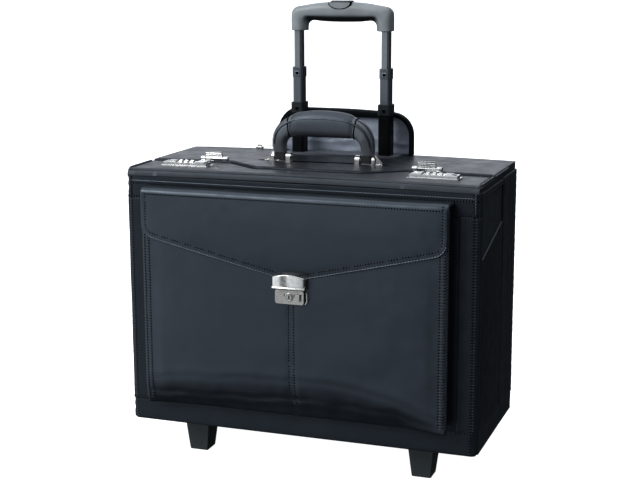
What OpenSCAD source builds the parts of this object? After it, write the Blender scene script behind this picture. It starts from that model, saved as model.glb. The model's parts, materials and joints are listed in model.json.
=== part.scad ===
// Rolling flight case: leather-covered box with two lids, a front pocket and a telescopic trolley.
// Shapes are drawn in case coordinates: x across, y = 0 at the front panel, z = 0 under the bottom panel.
// place() moves them to the row frame, whose origin lies on the ground under the middle of the object.

/* [Case] */
// Width across the side panels
case_w = 470; // [440:1:500]
// Depth from the front panel to the back panel
case_d = 212; // [205:1:225]
// Height of the box walls, without the lids
case_h = 334; // [320:1:350]
// Thickness of the leather-covered wall boards
wall_t = 6; // [5:0.5:7]
// Height of the box above the ground
ground_h = 49; // [46:1:50]

/* [Lids] */
// Thickness of the front lid at its sides
lid_t = 5.6; // [5:0.1:7]
// How much higher the rear lid stands than the front lid
rear_step = 2; // [1.5:0.5:3]
// Rise of the lids' middle above their sides
crown = 2; // [0:0.5:3]
// Depth at which the lids part, near the sides
split_y = 76; // [74:1:78]
// Depth at which the lids part, under the carry handle
tongue_y = 38; // [36:1:44]
// Half width of the rear lid's tongue at its front edge
tongue_half = 72; // [70:1:78]
// Half width of the rear lid's tongue at its root
tongue_root = 121; // [115:1:122]
// Gap between the two lids
split_gap = 1.8; // [1.5:0.1:2.5]
// Depth of the rear lid's hinge line
rear_hinge_y = 162; // [161:0.5:163]

/* [Front pocket] */
// Width of the pocket
pocket_w = 406; // [390:1:408]
// Depth of the pocket in front of the case
pocket_d = 26; // [20:1:30]
// Height of the pocket's lower edge
pocket_z = 36; // [34:1:45]
// Thickness of the pocket's leather panels
pocket_t = 3; // [2:0.5:3.5]
// Height of the flap's top
flap_top = 322; // [318:1:324]
// Height of the flap's lower corners
flap_side_z = 255; // [240:1:270]
// Height of the flap's point
flap_tip_z = 213; // [211:1:220]
// Thickness of the flap
flap_t = 3; // [2:0.5:3]

/* [Pocket lock] */
// Distance of the lock and the flap's point from the case's middle
lock_x = 3; // [0:0.5:4]
// Width of the lock's lower body
lock_w = 38; // [34:1:42]
// Height of the joint between the lock's two halves
lock_z = 204; // [202:1:206]
// Height of each half of the lock
lock_h = 18; // [16:1:20]
// Radius of the key cylinder
key_r = 3.6; // [3:0.1:4]

/* [Combination locks] */
// Distance of a combination lock's middle from the case's middle
combo_x = 167.5; // [166:0.5:168]
// Depth of a combination lock's middle
combo_y = 39.5; // [38:0.5:42]
// Half length of a combination lock
combo_half = 33; // [32:0.5:34]
// Number of dials on each lock
dial_count = 3; // [3:1:3]
// Distance between neighbouring dials
dial_pitch = 8; // [7:0.5:8]
// Radius of a dial
dial_r = 4; // [3.5:0.1:4]

/* [Carry handle] */
// Depth of the carry handle's plane
handle_y = 103.5; // [101:0.5:104]
// Half width across the handle's legs
handle_half = 71; // [70:1:73]
// Thickness of the handle's legs
handle_leg = 18.5; // [18:0.5:19.5]
// Height of the handle's top
handle_top = 413; // [405:1:418]
// Half width of the handle's middle pad
pad_half = 45; // [40:1:48]
// Height of the handle's pivot pins
pivot_z = 351; // [350.5:0.5:352]

/* [Trolley] */
// Distance of each trolley tube from the middle
tube_x = 62; // [58:1:64]
// Depth of the trolley tubes
tube_y = 182; // [180:1:184]
// Height of the lower collars' top
stage1_top = 416; // [414:1:420]
// Height of the upper collars' top
stage2_top = 464; // [463:1:470]
// Height of the grip's lower end
grip_z = 513; // [510:1:520]
// Height of the grip
grip_h = 39; // [38:1:42]
// Depth of the grip
grip_d = 26; // [24:1:28]

/* [Hood] */
// Half width of the hood behind the trolley
hood_half = 98; // [90:1:100]
// Distance of the hood's middle from the case's middle
hood_x = -3.5; // [-4:0.5:0]
// Height of the hood's top
hood_top = 402; // [390:1:410]
// Depth of the hood's rim
hood_d = 12; // [9:1:12]

/* [Wheels and feet] */
// Radius of the wheels
wheel_r = 25; // [24:0.5:25]
// Distance of each wheel from the middle
wheel_x = 190; // [185:1:192]
// Depth of the wheels' axles
wheel_y = 200; // [199:1:201]
// Distance of each front foot from the middle
foot_x = 157; // [150:1:165]

/* [Hidden] */
$fn = 48;
gap = 0.4;             // clearance between bodies that move apart
inner_w = case_w / 2 - wall_t;         // half width inside the side panels
board_top = case_h + gap;              // underside of both lids
front_top = board_top + lid_t;         // front lid's top at the sides
rear_top = front_top + rear_step;      // rear lid's top at the sides
partition_t = 3;
deck_y = rear_hinge_y + 0.7;           // front edge of the rear deck
lock_bulge = 8.6;                      // how far the pocket lock stands in front of the flap
flap_y = -(pocket_d + flap_t + 0.6);   // front face of the flap
hull_front = flap_y - lock_bulge;      // foremost point of the object
hull_rear = wheel_y + wheel_r;         // rearmost point of the object
mid_y = (hull_front + hull_rear) / 2;

stage3 = [11, 15];     // inner tube, across and deep
stage2 = [14, 18];     // middle tube
stage1 = [17, 21];     // outer moving tube
sleeve = [20.8, 24.8]; // fixed tube in the case
stage_wall = 1.2;
slide_fit = 0.3;       // clearance between telescoping tubes, each side
collar_h = 14;
collar_wall = 0.8;
axle_z = wheel_r - ground_h;
deck_top_mid = rear_top + crown;

leather = [0.10, 0.11, 0.13];
board = [0.16, 0.16, 0.17];
lining = [0.55, 0.57, 0.62];
nickel = [0.80, 0.79, 0.76];
anodised = [0.36, 0.40, 0.44];
plastic = [0.14, 0.17, 0.17];
rubber = [0.07, 0.07, 0.07];

// --- helpers ---

module place() translate([0, -mid_y, ground_h]) children();

module both_sides() for (side = [0, 1]) mirror([side, 0, 0]) children();

module block(x, y, z) translate([x[0], y[0], z[0]]) cube([x[1] - x[0], y[1] - y[0], z[1] - z[0]]);

// Extrudes a child drawn in x and z along y.
module along_y(y) translate([0, y[1], 0]) rotate([90, 0, 0]) linear_extrude(y[1] - y[0]) children();

// Extrudes a child drawn in y and z along x.
module along_x(x) translate([x[0], 0, 0]) rotate([90, 0, 90]) linear_extrude(x[1] - x[0]) children();

module rod_x(x, y, z, r) translate([x[0], y, z]) rotate([0, 90, 0]) cylinder(r = r, h = x[1] - x[0]);

module rod_y(x, y, z, r) translate([x, y[1], z]) rotate([90, 0, 0]) cylinder(r = r, h = y[1] - y[0]);

module round_rect(size, r) {
    square([size[0] - 2 * r, size[1]], center = true);
    square([size[0], size[1] - 2 * r], center = true);
    for (x = [-1, 1], y = [-1, 1])
        translate([x * (size[0] / 2 - r), y * (size[1] / 2 - r)]) circle(r);
}

module tube(outer, inner, z) translate([0, 0, z[0]]) linear_extrude(z[1] - z[0]) difference() {
    round_rect(outer, 3);
    round_rect(inner, 2);
}

function arc(x, z, r, from, to, n = 6) =
    [for (i = [0:n]) let (a = from + (to - from) * i / n) [x + r * cos(a), z + r * sin(a)]];

function reversed(points) = [for (i = [len(points) - 1:-1:0]) points[i]];

function flipped(points) = [for (p = points) [-p[0], p[1]]];

// The left half of an outline, going on from the end of its right half.
function mirrored(points) = reversed(flipped(points));

// Height of the crowned lids above their sides at a place across the case.
function rise(x) = crown * (1 - pow(2 * x / case_w, 2));

// Everything below a crowned surface whose sides lie at height top.
module under_crown(bottom, top) {
    half = case_w / 2;
    steps = 16;
    along_y([-60, case_d + 60]) polygon(concat([[half, bottom], [-half, bottom]],
        [for (i = [0:steps]) let (x = -half + case_w * i / steps) [x, top + rise(x)]]));
}

// Outline of the box seen from above, with rounded corners.
module plan() translate([0, case_d / 2]) round_rect([case_w, case_d], wall_t);

module plan_strip(y) intersection() {
    plan();
    translate([-case_w / 2, y[0]]) square([case_w, y[1] - y[0]]);
}

// Space that a wheel housing takes out of the bottom and back panels.
module wheel_cut() both_sides()
    block([wheel_x - 16.2, wheel_x + 16.2], [169.8, case_d + 1], [-1, 14.2]);

// --- case ---

module bottom_panel() place() color(leather) difference() {
    linear_extrude(wall_t) plan();
    wheel_cut();
}

module front_panel() place() color(leather)
    translate([0, 0, wall_t]) linear_extrude(case_h - wall_t) plan_strip([0, wall_t]);

module back_panel() place() color(leather) difference() {
    translate([0, 0, wall_t]) linear_extrude(case_h - wall_t) plan_strip([case_d - wall_t, case_d]);
    wheel_cut();
}

module side_panel(side) place() color(leather) mirror([side, 0, 0])
    block([inner_w, case_w / 2], [wall_t, case_d - wall_t], [wall_t, case_h]);

module rear_partition() place() color(board)
    block([-inner_w, inner_w], [160, 160 + partition_t], [wall_t, case_h]);

module rear_deck() place() color(leather) difference() {
    intersection() {
        translate([0, 0, case_h]) linear_extrude(40) plan_strip([deck_y, case_d]);
        under_crown(case_h, rear_top);
    }
    block([-76, 76], [168, 196.5], [case_h - 1, deck_top_mid + 1]);
}

module divider_panel() place() color(lining)
    block([-inner_w + 0.5, inner_w - 0.5], [99, 103], [wall_t, case_h - 34]);

// Slip pocket on a side panel, with a slanted upper edge.
module side_pocket(side) place() color(leather) mirror([side, 0, 0])
    along_x([case_w / 2, case_w / 2 + 3])
        polygon([[9, 34], [121, 34], [121, 278], [9, 250]]);

module trolley_sleeves() place() color(anodised) both_sides()
    translate([tube_x, tube_y, 0]) tube(sleeve, stage1 + [2, 2] * slide_fit, [8, case_h + 6]);

module trolley_base_bracket() place() color(plastic) difference() {
    union() {
        block([-82, 82], [165.5, 198.5], [wall_t, 8]);
        both_sides() block([tube_x - 14, tube_x + 14], [165.5, 198.5], [8, 26]);
        block([-tube_x + 14, tube_x - 14], [178, 186], [8, 20]);
    }
    both_sides() translate([tube_x, tube_y, 8]) linear_extrude(40) round_rect(sleeve, 3);
}

module trolley_bezel() place() color(plastic) difference() {
    intersection() {
        union() {
            translate([0, 182, case_h + 6]) linear_extrude(40) round_rect([151.6, 28], 2);
            translate([0, 182.2, rear_top]) linear_extrude(40) round_rect([162, 35], 4);
        }
        under_crown(case_h, rear_top + 3.5);
    }
    difference() {
        under_crown(case_h - 2, rear_top);
        block([-75.9, 75.9], [168.1, 196.4], [case_h - 3, deck_top_mid + 1]);
    }
    both_sides() translate([tube_x, tube_y, case_h - 1]) linear_extrude(40)
        round_rect(stage1 + [1, 1] * 2 * gap, 3);
}

module reinforcement_bands() place() color(leather) {
    difference() {
        along_y([-1.2, 0]) translate([0, case_h / 2]) square([2 * inner_w, case_h - 6], center = true);
        block([-210, 210], [-2, 1], [33, 302]);
        block([-pocket_w / 2 - 1.5, pocket_w / 2 + 1.5], [-2, 1], [33, flap_top + 1.5]);
    }
    both_sides() {
        block([case_w / 2, case_w / 2 + 1.2], [wall_t, case_d - wall_t], [4, 33]);
        block([case_w / 2, case_w / 2 + 1.2], [124, case_d - wall_t], [33, case_h - 4]);
    }
}

// Cord sewn along the lower edges and the rear corners.
module edge_piping() place() color(leather) difference() {
    both_sides() {
        translate([case_w / 2 - 0.6, 8, 2]) rotate([-90, 0, 0]) cylinder(r = 2, h = case_d - 16);
        translate([case_w / 2 - 1.8, case_d - 1.8, 8]) cylinder(r = 2.2, h = case_h - 12);
    }
    linear_extrude(case_h * 2, center = true) plan();
    both_sides() block([case_w / 2 - 5, case_w / 2 + 1.2], [wall_t, case_d - wall_t], [4, case_h]);
}

module rivets() place() color(nickel) {
    both_sides() for (z = [48, 300]) rod_y(tube_x, [case_d, case_d + 1.5], z, 4);
    both_sides() for (x = [-19, 19])
        rod_y(wheel_x + x, [case_d + 2.5, case_d + 4], 17, 2.2);
}

module front_feet() place() color(plastic) both_sides() translate([foot_x, 0, 0]) intersection() {
    along_y([20, 80]) polygon([[-18.5, 0], [18.5, 0], [13, -ground_h], [-13, -ground_h]]);
    along_x([-30, 30]) polygon([[30, 0], [66, 0], [60, -ground_h], [34, -ground_h]]);
}

// --- front pocket ---

module pocket_gusset() place() color(leather) {
    half = pocket_w / 2;
    both_sides() block([half - pocket_t, half], [pocket_t - pocket_d, 0], [pocket_z, 317]);
    block([-half + pocket_t, half - pocket_t], [pocket_t - pocket_d, 0],
        [pocket_z, pocket_z + pocket_t]);
    block([-half, half], [-3.4, 0], [317, flap_top]);
}

module pocket_front() place() color(leather)
    block([-pocket_w / 2, pocket_w / 2], [-pocket_d, pocket_t - pocket_d], [pocket_z, 317]);

// Flap drawn in x and z: square at the top, round lower corners and a shallow point.
module flap_outline() {
    half = pocket_w / 2 + 1;
    r = 16;
    right = concat([[half, flap_top]], arc(half - r, flap_side_z + r, r, 0, -78));
    polygon(concat(right, [[lock_x + 3, flap_tip_z], [lock_x - 3, flap_tip_z]], mirrored(right)));
}

module pocket_flap() place() color(leather) {
    along_y([flap_y, flap_y + flap_t]) flap_outline();
    block([-pocket_w / 2 - 1, pocket_w / 2 + 1], [flap_y + flap_t, -4.3],
        [flap_top - flap_t, flap_top]);
}

module flap_lock_plate() place() color(nickel) translate([lock_x, 0, 0]) {
    half = lock_w / 2 + 2.5;
    top_r = 62;
    lean = asin(half / top_r);
    along_y([flap_y - 6, flap_y]) polygon(concat([[-half, lock_z + 0.5], [half, lock_z + 0.5]],
        arc(0, lock_z + lock_h + 1 - top_r, top_r, 90 - lean, 90 + lean)));
    rod_x([-half, half], flap_y - 6, lock_z + 3.4, 2.6);
}

module lock_tub() translate([0, lock_z - lock_h / 2]) round_rect([lock_w, lock_h], 3);

module pocket_lock_body() place() color(nickel) translate([lock_x, 0, 0]) difference() {
    union() {
        along_y([flap_y - 5.5, -pocket_d]) lock_tub();
        along_y([-pocket_d - 2.6, -pocket_d])
            translate([0, lock_z - lock_h / 2]) round_rect([lock_w + 10, lock_h - 3], 3);
    }
    rod_y(0, [flap_y - 7, flap_y + 1], lock_z - 9, key_r + 0.05);
    block([9.7, 16.3], [flap_y - 7, flap_y - 2.5], [lock_z - 13.3, lock_z - 4.7]);
}

module key_cylinder() place() color(nickel) translate([lock_x, 0, 0]) difference() {
    rod_y(0, [flap_y - 6.5, flap_y + 0.7], lock_z - 9, key_r);
    block([-0.6, 0.6], [flap_y - 7, flap_y - 3], [lock_z - 11.2, lock_z - 6.8]);
}

// Sprung tab that slides sideways in the lock body to free the flap.
module lock_latch() place() color(nickel) translate([lock_x, 0, 0])
    block([10, 14], [flap_y - 7, flap_y - 2.8], [lock_z - 13, lock_z - 5]);

// --- lids ---

module split_line(back) {
    polygon(concat([[-case_w, -9], [case_w, -9], [case_w, split_y], [tongue_root, split_y],
        [tongue_half, tongue_y], [-tongue_half, tongue_y], [-tongue_root, split_y],
        [-case_w, split_y]]));
    if (back) translate([0, split_gap]) split_line(false);
}

module front_lid() place() color(leather) intersection() {
    translate([0, 0, board_top]) linear_extrude(40) intersection() {
        plan();
        split_line(false);
    }
    under_crown(board_top, front_top);
}

module rear_lid() place() color(leather) intersection() {
    translate([0, 0, board_top]) linear_extrude(40) difference() {
        plan_strip([0, rear_hinge_y]);
        split_line(true);
    }
    under_crown(board_top, rear_top);
}

// --- combination locks ---

function dial_x(i) = combo_x + 0.5 + (i - (dial_count + 1) / 2) * dial_pitch;
dial_z = front_top + rise(combo_x - 12) + 0.5 + dial_r;

module combo_lock() {
    lo = combo_x - combo_half;
    hi = combo_x + combo_half;
    base = front_top;
    difference() {
        union() {
            block([lo, hi], [combo_y - 11, combo_y + 11], [base, dial_z - 2.2]);
            block([lo + 3, hi - 2], [combo_y - 8, combo_y + 8], [base, dial_z + 1.6]);
            block([lo + 6, lo + 18], [combo_y - 8, combo_y + 8], [base, dial_z + 3]);
        }
        under_crown(board_top, front_top);
        for (i = [1:dial_count])
            block([dial_x(i) - 2.6, dial_x(i) + 2.6], [combo_y - 5, combo_y + 5],
                [base - 1, dial_z + 9]);
        block([hi - 19, hi - 3.6], [combo_y - 5.5, combo_y + 5.5], [dial_z - 1, dial_z + 9]);
    }
    rod_x([dial_x(1) - 3.4, dial_x(dial_count) + 3.4], combo_y, dial_z, 1);
}

module combo_lock_bodies() place() color(nickel) both_sides() combo_lock();

module dial(side, i) place() color(nickel) mirror([side, 0, 0]) difference() {
    rod_x([dial_x(i) - 2.1, dial_x(i) + 2.1], combo_y, dial_z, dial_r);
    rod_x([dial_x(i) - 3, dial_x(i) + 3], combo_y, dial_z, 1.05);
}

module lock_slider(side) place() color(nickel) mirror([side, 0, 0]) {
    x = combo_x + 14.4;
    block([x, x + 10.7], [combo_y - 5.1, combo_y + 5.1], [dial_z - 0.6, dial_z + 2.6]);
    for (i = [0:3])
        block([x + 0.8 + 2.6 * i, x + 2.2 + 2.6 * i], [combo_y - 5.1, combo_y + 5.1],
            [dial_z + 2.6, dial_z + 3.4]);
}

hasp_x = 147;
hasp_y = 82;
hasp_z = rear_top + rise(hasp_x) + 3.6;

module hasp_bases() place() color(nickel) both_sides() {
    difference() {
        union() {
            block([hasp_x - 19, hasp_x + 19], [hasp_y - 3.6, hasp_y + 8], [rear_top, hasp_z - 2.4]);
            for (x = [-17, 13]) {
                block([hasp_x + x, hasp_x + x + 4], [hasp_y - 2.4, hasp_y + 2.4], [rear_top, hasp_z]);
                rod_x([hasp_x + x, hasp_x + x + 4], hasp_y, hasp_z, 3);
            }
        }
        under_crown(board_top, rear_top);
    }
    rod_x([hasp_x - 13.5, hasp_x + 13.5], hasp_y, hasp_z, 1);
}

// Hinged catch plate, leaning forward a little from upright.
module hasp(side) place() color(nickel) mirror([side, 0, 0]) difference() {
    union() {
        rod_x([hasp_x - 12, hasp_x + 12], hasp_y, hasp_z, 2);
        translate([hasp_x - 12, hasp_y, hasp_z]) rotate([15, 0, 0])
            translate([0, -0.9, 1.4]) cube([24, 1.8, 8.6]);
    }
    rod_x([hasp_x - 13, hasp_x + 13], hasp_y, hasp_z, 1.05);
}

// --- carry handle ---

ear_in = handle_half - 20;     // faces of the bracket's two ears, either side of the handle's tip
ear_out = handle_half - 3;

module handle_brackets() place() color(nickel) both_sides() {
    difference() {
        union() {
            block([44, 82], [handle_y - 5, handle_y + 5], [rear_top, rear_top + crown + 1.4]);
            along_x([ear_in - 6, ear_in]) ear();
            along_x([ear_out, ear_out + 3]) ear();
            along_y([handle_y - 1.2, handle_y + 1.2]) polygon([[ear_out + 3, rear_top], [81, rear_top],
                [81, rear_top + 6], [ear_out + 5, pivot_z + 6], [ear_out + 3, pivot_z + 6]]);
        }
        under_crown(board_top, rear_top);
    }
    rod_x([ear_in, ear_out], handle_y, pivot_z, 2);
}

module ear() {
    translate([handle_y, pivot_z]) circle(6);
    translate([handle_y - 6, rear_top]) square([12, pivot_z - rear_top]);
}

handle_in = handle_half - handle_leg;
handle_low = handle_top - 34;

// Arch of the handle drawn in x and z, without its round tips.
module arch_outline() difference() {
    polygon(concat([[-handle_half, pivot_z + 12], [handle_half, pivot_z + 12]],
        arc(handle_half - 38, handle_top - 44, 38, 0, 68), arc(0, handle_top - 190, 190, 77, 103),
        arc(-handle_half + 38, handle_top - 44, 38, 112, 180)));
    polygon(concat([[-handle_in, pivot_z], [handle_in, pivot_z]],
        arc(handle_in - 13, handle_low - 13, 13, 0, 90),
        arc(-handle_in + 13, handle_low - 13, 13, 90, 180)));
}

module handle_strap() place() color(leather) difference() {
    union() {
        along_y([handle_y - 9, handle_y + 9]) difference() {
            arch_outline();
            translate([-pad_half, handle_low - 20]) square([2 * pad_half, 90]);
        }
        both_sides() {
            block([ear_in + 1, ear_out - 1], [handle_y - 5, handle_y + 5], [pivot_z, pivot_z + 12.5]);
            rod_x([ear_in + 1, ear_out - 1], handle_y, pivot_z, 5);
        }
    }
    rod_x([-90, 90], handle_y, pivot_z, 2.05);
}

module handle_pad() place() color(leather) along_y([handle_y - 13, handle_y + 13])
    intersection() {
        arch_outline();
        translate([-pad_half, handle_low - 20]) square([2 * pad_half, 90]);
    }

// --- trolley ---

module stage_tubes(outer, wall, z) both_sides() translate([tube_x, tube_y, 0])
    tube(outer, outer - [2, 2] * wall, z);

// Collar round the top of a stage, closing in on the next one.
module stage_collars(outer, next, top) both_sides() translate([tube_x, tube_y, 0]) {
    translate([0, 0, top - collar_h]) linear_extrude(collar_h - 2) difference() {
        round_rect(outer + [2, 2] * collar_wall, 3.6);
        round_rect(outer, 3);
    }
    translate([0, 0, top - 2]) linear_extrude(2) difference() {
        round_rect(outer + [2, 2] * collar_wall, 3.6);
        round_rect(next + [2, 2] * slide_fit, 3);
    }
    translate([-3, -outer[1] / 2 - collar_wall - 0.6, top - 11]) cube([6, 1, 5.5]);
}

module stage1_tubes() place() color(anodised)
    stage_tubes(stage1, stage_wall, [66, stage1_top - 2]);

module stage1_collars() place() color(plastic) stage_collars(stage1, stage2, stage1_top);

module stage2_tubes() place() color(anodised)
    stage_tubes(stage2, stage_wall, [110, stage2_top - 2]);

module stage2_collars() place() color(plastic) stage_collars(stage2, stage3, stage2_top);

module stage3_tubes() place() color(anodised)
    stage_tubes(stage3, stage_wall, [160, grip_z + 12]);

button_half = 15;
yoke_z = grip_z + 21;

module release_rods() place() color(nickel) {
    both_sides() translate([tube_x, tube_y, 300]) cylinder(r = 1.6, h = yoke_z - 300);
    block([-tube_x - 2, tube_x + 2], [tube_y - 3, tube_y + 3], [yoke_z, yoke_z + 4]);
}

// Grip drawn in x and z: two legs, an arched top and a bar with a belly.
module grip_outline() {
    out = tube_x + 9.5;
    leg = tube_x - 13.5;
    end_z = grip_z + grip_h - 6;
    bar_z = grip_z + 14;
    outer = concat([[out, grip_z]], arc(out - 11, end_z - 11, 11, 0, 78),
        [[36, grip_z + grip_h - 1.7], [18, grip_z + grip_h - 0.4]]);
    inner = concat([[leg, grip_z]], arc(leg - 8, bar_z - 8, 8, 0, 90),
        [[22, bar_z - 1.5], [10, bar_z - 2]]);
    polygon(concat(outer, mirrored(outer), flipped(inner), reversed(inner)));
}

module grip() place() color(plastic) difference() {
    along_y([tube_y - grip_d / 2, tube_y + grip_d / 2]) grip_outline();
    both_sides() translate([tube_x, tube_y, grip_z - 1]) {
        linear_extrude(13) round_rect(stage3, 3);
        cylinder(r = 2.2, h = 25);
    }
    block([-tube_x - 3, tube_x + 3], [tube_y - 4.5, tube_y + 4.5], [yoke_z - 3.5, yoke_z + 4.4]);
    translate([0, tube_y, yoke_z]) linear_extrude(30) round_rect([11, 7], 2);
    translate([0, tube_y, grip_z + grip_h - 7.5]) linear_extrude(30)
        round_rect([2 * button_half + 0.8, 14.8], 7.3);
}

module grip_button() place() color(plastic) translate([0, tube_y, 0]) {
    cap_z = grip_z + grip_h - 4;
    translate([0, 0, yoke_z + 4]) linear_extrude(cap_z - yoke_z - 4) round_rect([10, 6], 2);
    translate([0, 0, cap_z]) linear_extrude(5.5)
        round_rect([2 * button_half, 14], 6.9);
}

// --- hood and zip ---

hood_base = deck_top_mid + 0.4;

module hood_outline(inset) {
    half = hood_half - inset;
    r = 30 - inset;
    translate([hood_x, 0])
        polygon(concat([[half, hood_base], [half, hood_top - 30]],
            arc(half - r, hood_top - 30, r, 0, 90, 8),
            arc(-half + r, hood_top - 30, r, 90, 180, 8), [[-half, hood_base]]));
}

module hood_shell() place() color(leather) {
    along_y([case_d - 2.4, case_d]) hood_outline(0);
    along_y([case_d - hood_d, case_d - 2.4]) difference() {
        hood_outline(0);
        hood_outline(3);
    }
}

module hood_lining() place() color(lining) along_y([case_d - 4.4, case_d - 2.4]) hood_outline(3);

module zip_tape() place() color(board) intersection() {
    block([-216, hood_x - hood_half - 4.5], [203, 209], [rear_top - 1, rear_top + 9]);
    difference() {
        under_crown(case_h, rear_top + 1.2);
        under_crown(case_h - 1, rear_top);
    }
}

zip_x = -132;
zip_z = rear_top + rise(hood_half + 8) + 1.2 + gap;

module zip_slider() place() color(nickel) {
    block([zip_x - 5, zip_x + 5], [202.5, 209.5], [zip_z, zip_z + 2.4]);
    block([zip_x - 3, zip_x + 3], [204.5, 207.5], [zip_z + 2.4, zip_z + 4.4]);
    block([zip_x - 2.5, zip_x + 18], [203.6, 208.4], [zip_z + 4.4, zip_z + 5.6]);
}

// --- wheels ---

module wheel_housings() place() color(plastic) both_sides() {
    lo = wheel_x - 16;
    hi = wheel_x + 16;
    difference() {
        union() {
            block([lo, hi], [170, case_d], [10, 14]);
            block([lo + 4, hi - 4], [170, 173.4], [-2, 10]);
            for (x = [[lo, lo + 4], [hi - 4, hi]]) along_x(x) {
                polygon([[170, 10], [170, -4], [wheel_y - 9, axle_z - 3], [wheel_y + 9, axle_z],
                    [case_d, -2], [case_d, 10]]);
                translate([wheel_y, axle_z]) circle(9);
            }
            block([lo - 7, hi + 7], [case_d, case_d + 2.5], [0, 23]);
        }
        block([lo + 4, hi - 4], [173.4, case_d + 4], [-1, 10]);
        rod_x([lo - 1, hi + 1], wheel_y, axle_z, 4);
    }
}

module wheel_axles() place() color(nickel) both_sides()
    rod_x([wheel_x - 16, wheel_x + 16], wheel_y, axle_z, 4);

module tyre(side) place() color(rubber) mirror([side, 0, 0]) translate([wheel_x, wheel_y, axle_z])
    rotate([0, 90, 0]) rotate_extrude($fn = 64) difference() {
        translate([wheel_r - 4.5, 0]) round_rect([9, 18], 3);
        translate([wheel_r - 14, -15]) square([6, 30]);
    }

module hub(side) place() color(plastic) mirror([side, 0, 0]) difference() {
    union() {
        rod_x([wheel_x - 8, wheel_x + 8], wheel_y, axle_z, wheel_r - 8);
        rod_x([wheel_x - 10, wheel_x + 10], wheel_y, axle_z, 8);
    }
    rod_x([wheel_x - 11, wheel_x + 11], wheel_y, axle_z, 4.05);
}

bottom_panel();
front_panel();
back_panel();
side_panel(1);  // side_panel_left
side_panel(0);  // side_panel_right
rear_partition();
rear_deck();
divider_panel();
side_pocket(1);  // side_pocket_left
side_pocket(0);  // side_pocket_right
pocket_front();
pocket_gusset();
pocket_lock_body();
front_feet();
wheel_housings();
wheel_axles();
trolley_sleeves();
trolley_base_bracket();
trolley_bezel();
zip_tape();
rivets();
edge_piping();
reinforcement_bands();
tyre(1);  // tyre_left
tyre(0);  // tyre_right
hub(1);  // hub_left
hub(0);  // hub_right
stage1_tubes();
stage1_collars();
stage2_tubes();
stage2_collars();
stage3_tubes();
release_rods();
grip();
grip_button();
hood_shell();
hood_lining();
front_lid();
rear_lid();
handle_brackets();
handle_strap();
handle_pad();
zip_slider();
combo_lock_bodies();
dial(1, 1);  // dial_left_1
dial(1, 2);  // dial_left_2
dial(1, 3);  // dial_left_3
dial(0, 1);  // dial_right_1
dial(0, 2);  // dial_right_2
dial(0, 3);  // dial_right_3
lock_slider(1);  // lock_slider_left
lock_slider(0);  // lock_slider_right
hasp(1);  // hasp_left
hasp(0);  // hasp_right
hasp_bases();
pocket_flap();
flap_lock_plate();
key_cylinder();
lock_latch();
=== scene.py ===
import json
import math

import bmesh
import bpy
from mathutils import Matrix, Vector, geometry, noise

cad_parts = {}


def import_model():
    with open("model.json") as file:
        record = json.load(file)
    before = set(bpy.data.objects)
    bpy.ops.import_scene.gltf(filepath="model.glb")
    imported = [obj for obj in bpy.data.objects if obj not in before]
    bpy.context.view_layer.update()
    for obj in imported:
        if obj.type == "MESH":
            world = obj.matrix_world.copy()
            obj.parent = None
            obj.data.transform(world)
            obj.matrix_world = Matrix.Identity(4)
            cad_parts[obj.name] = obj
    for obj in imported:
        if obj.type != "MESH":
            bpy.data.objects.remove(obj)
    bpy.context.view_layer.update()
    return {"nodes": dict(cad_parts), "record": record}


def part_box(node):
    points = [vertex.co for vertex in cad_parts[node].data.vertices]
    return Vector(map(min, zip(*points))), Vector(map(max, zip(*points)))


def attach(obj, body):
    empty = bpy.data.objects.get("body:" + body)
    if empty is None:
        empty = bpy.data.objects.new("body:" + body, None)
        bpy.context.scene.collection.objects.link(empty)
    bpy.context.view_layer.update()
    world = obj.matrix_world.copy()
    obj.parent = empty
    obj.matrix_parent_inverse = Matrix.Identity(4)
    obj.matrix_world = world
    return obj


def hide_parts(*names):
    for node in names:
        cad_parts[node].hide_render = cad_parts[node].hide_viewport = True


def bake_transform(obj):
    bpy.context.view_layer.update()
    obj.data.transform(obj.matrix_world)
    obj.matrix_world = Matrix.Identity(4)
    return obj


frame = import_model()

# The rolling flight case's looks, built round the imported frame. Places are in case millimetres: x across,
# y = 0 at the front panel and growing to the back, z = 0 under the bottom panel. Its left is at x < 0.
MM = 0.001
FRONT_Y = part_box("front_panel")[0].y / MM
BASE_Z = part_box("bottom_panel")[0].z / MM


def P(x, y, z):
    """A place in case millimetres as a point of the row frame, in metres."""
    return Vector((x, y + FRONT_Y, z + BASE_Z)) * MM


def cad(node):
    """Lowest and highest corner of a CAD node, in case millimetres."""
    return [corner / MM - Vector((0, FRONT_Y, BASE_Z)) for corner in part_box(node)]


# --- sizes taken from the frame ---

HALF_W = cad("side_panel_right")[1].x
BACK_Y = cad("back_panel")[1].y
WALL_Z = cad("side_panel_right")[1].z
BAND_LOW, BAND_HIGH = 33, 302          # edges of the bottom and top bands
WALL_TOP = WALL_Z - 0.8                # upper edge of the leather on the walls
STRIP_X = 210                          # inner edge of the corner strips
SEWN_X = 228.5                         # stitches down the corner strips
CORNER_R = cad("front_panel")[1].y                      # radius of the box's upright edges
POCKET_LO, POCKET_HI = cad("pocket_front")
FLAP_LO, FLAP_HI = cad("pocket_flap")
LID_LO, LID_HI = cad("front_lid")
REAR_HI = cad("rear_lid")[1]
DECK_LO, DECK_HI = cad("rear_deck")
TUBE_X = cad("stage3_tubes")[1].x - 5.5     # middle of each row of trolley tubes
CROWN = 2
FRONT_TOP = LID_HI.z - CROWN
REAR_TOP = REAR_HI.z - CROWN
SPLIT_Y = LID_HI.y


def rise(x):
    """How far the crowned top stands above its sides at x."""
    return CROWN * (1 - (x / HALF_W) ** 2)


# --- materials ---

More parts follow.
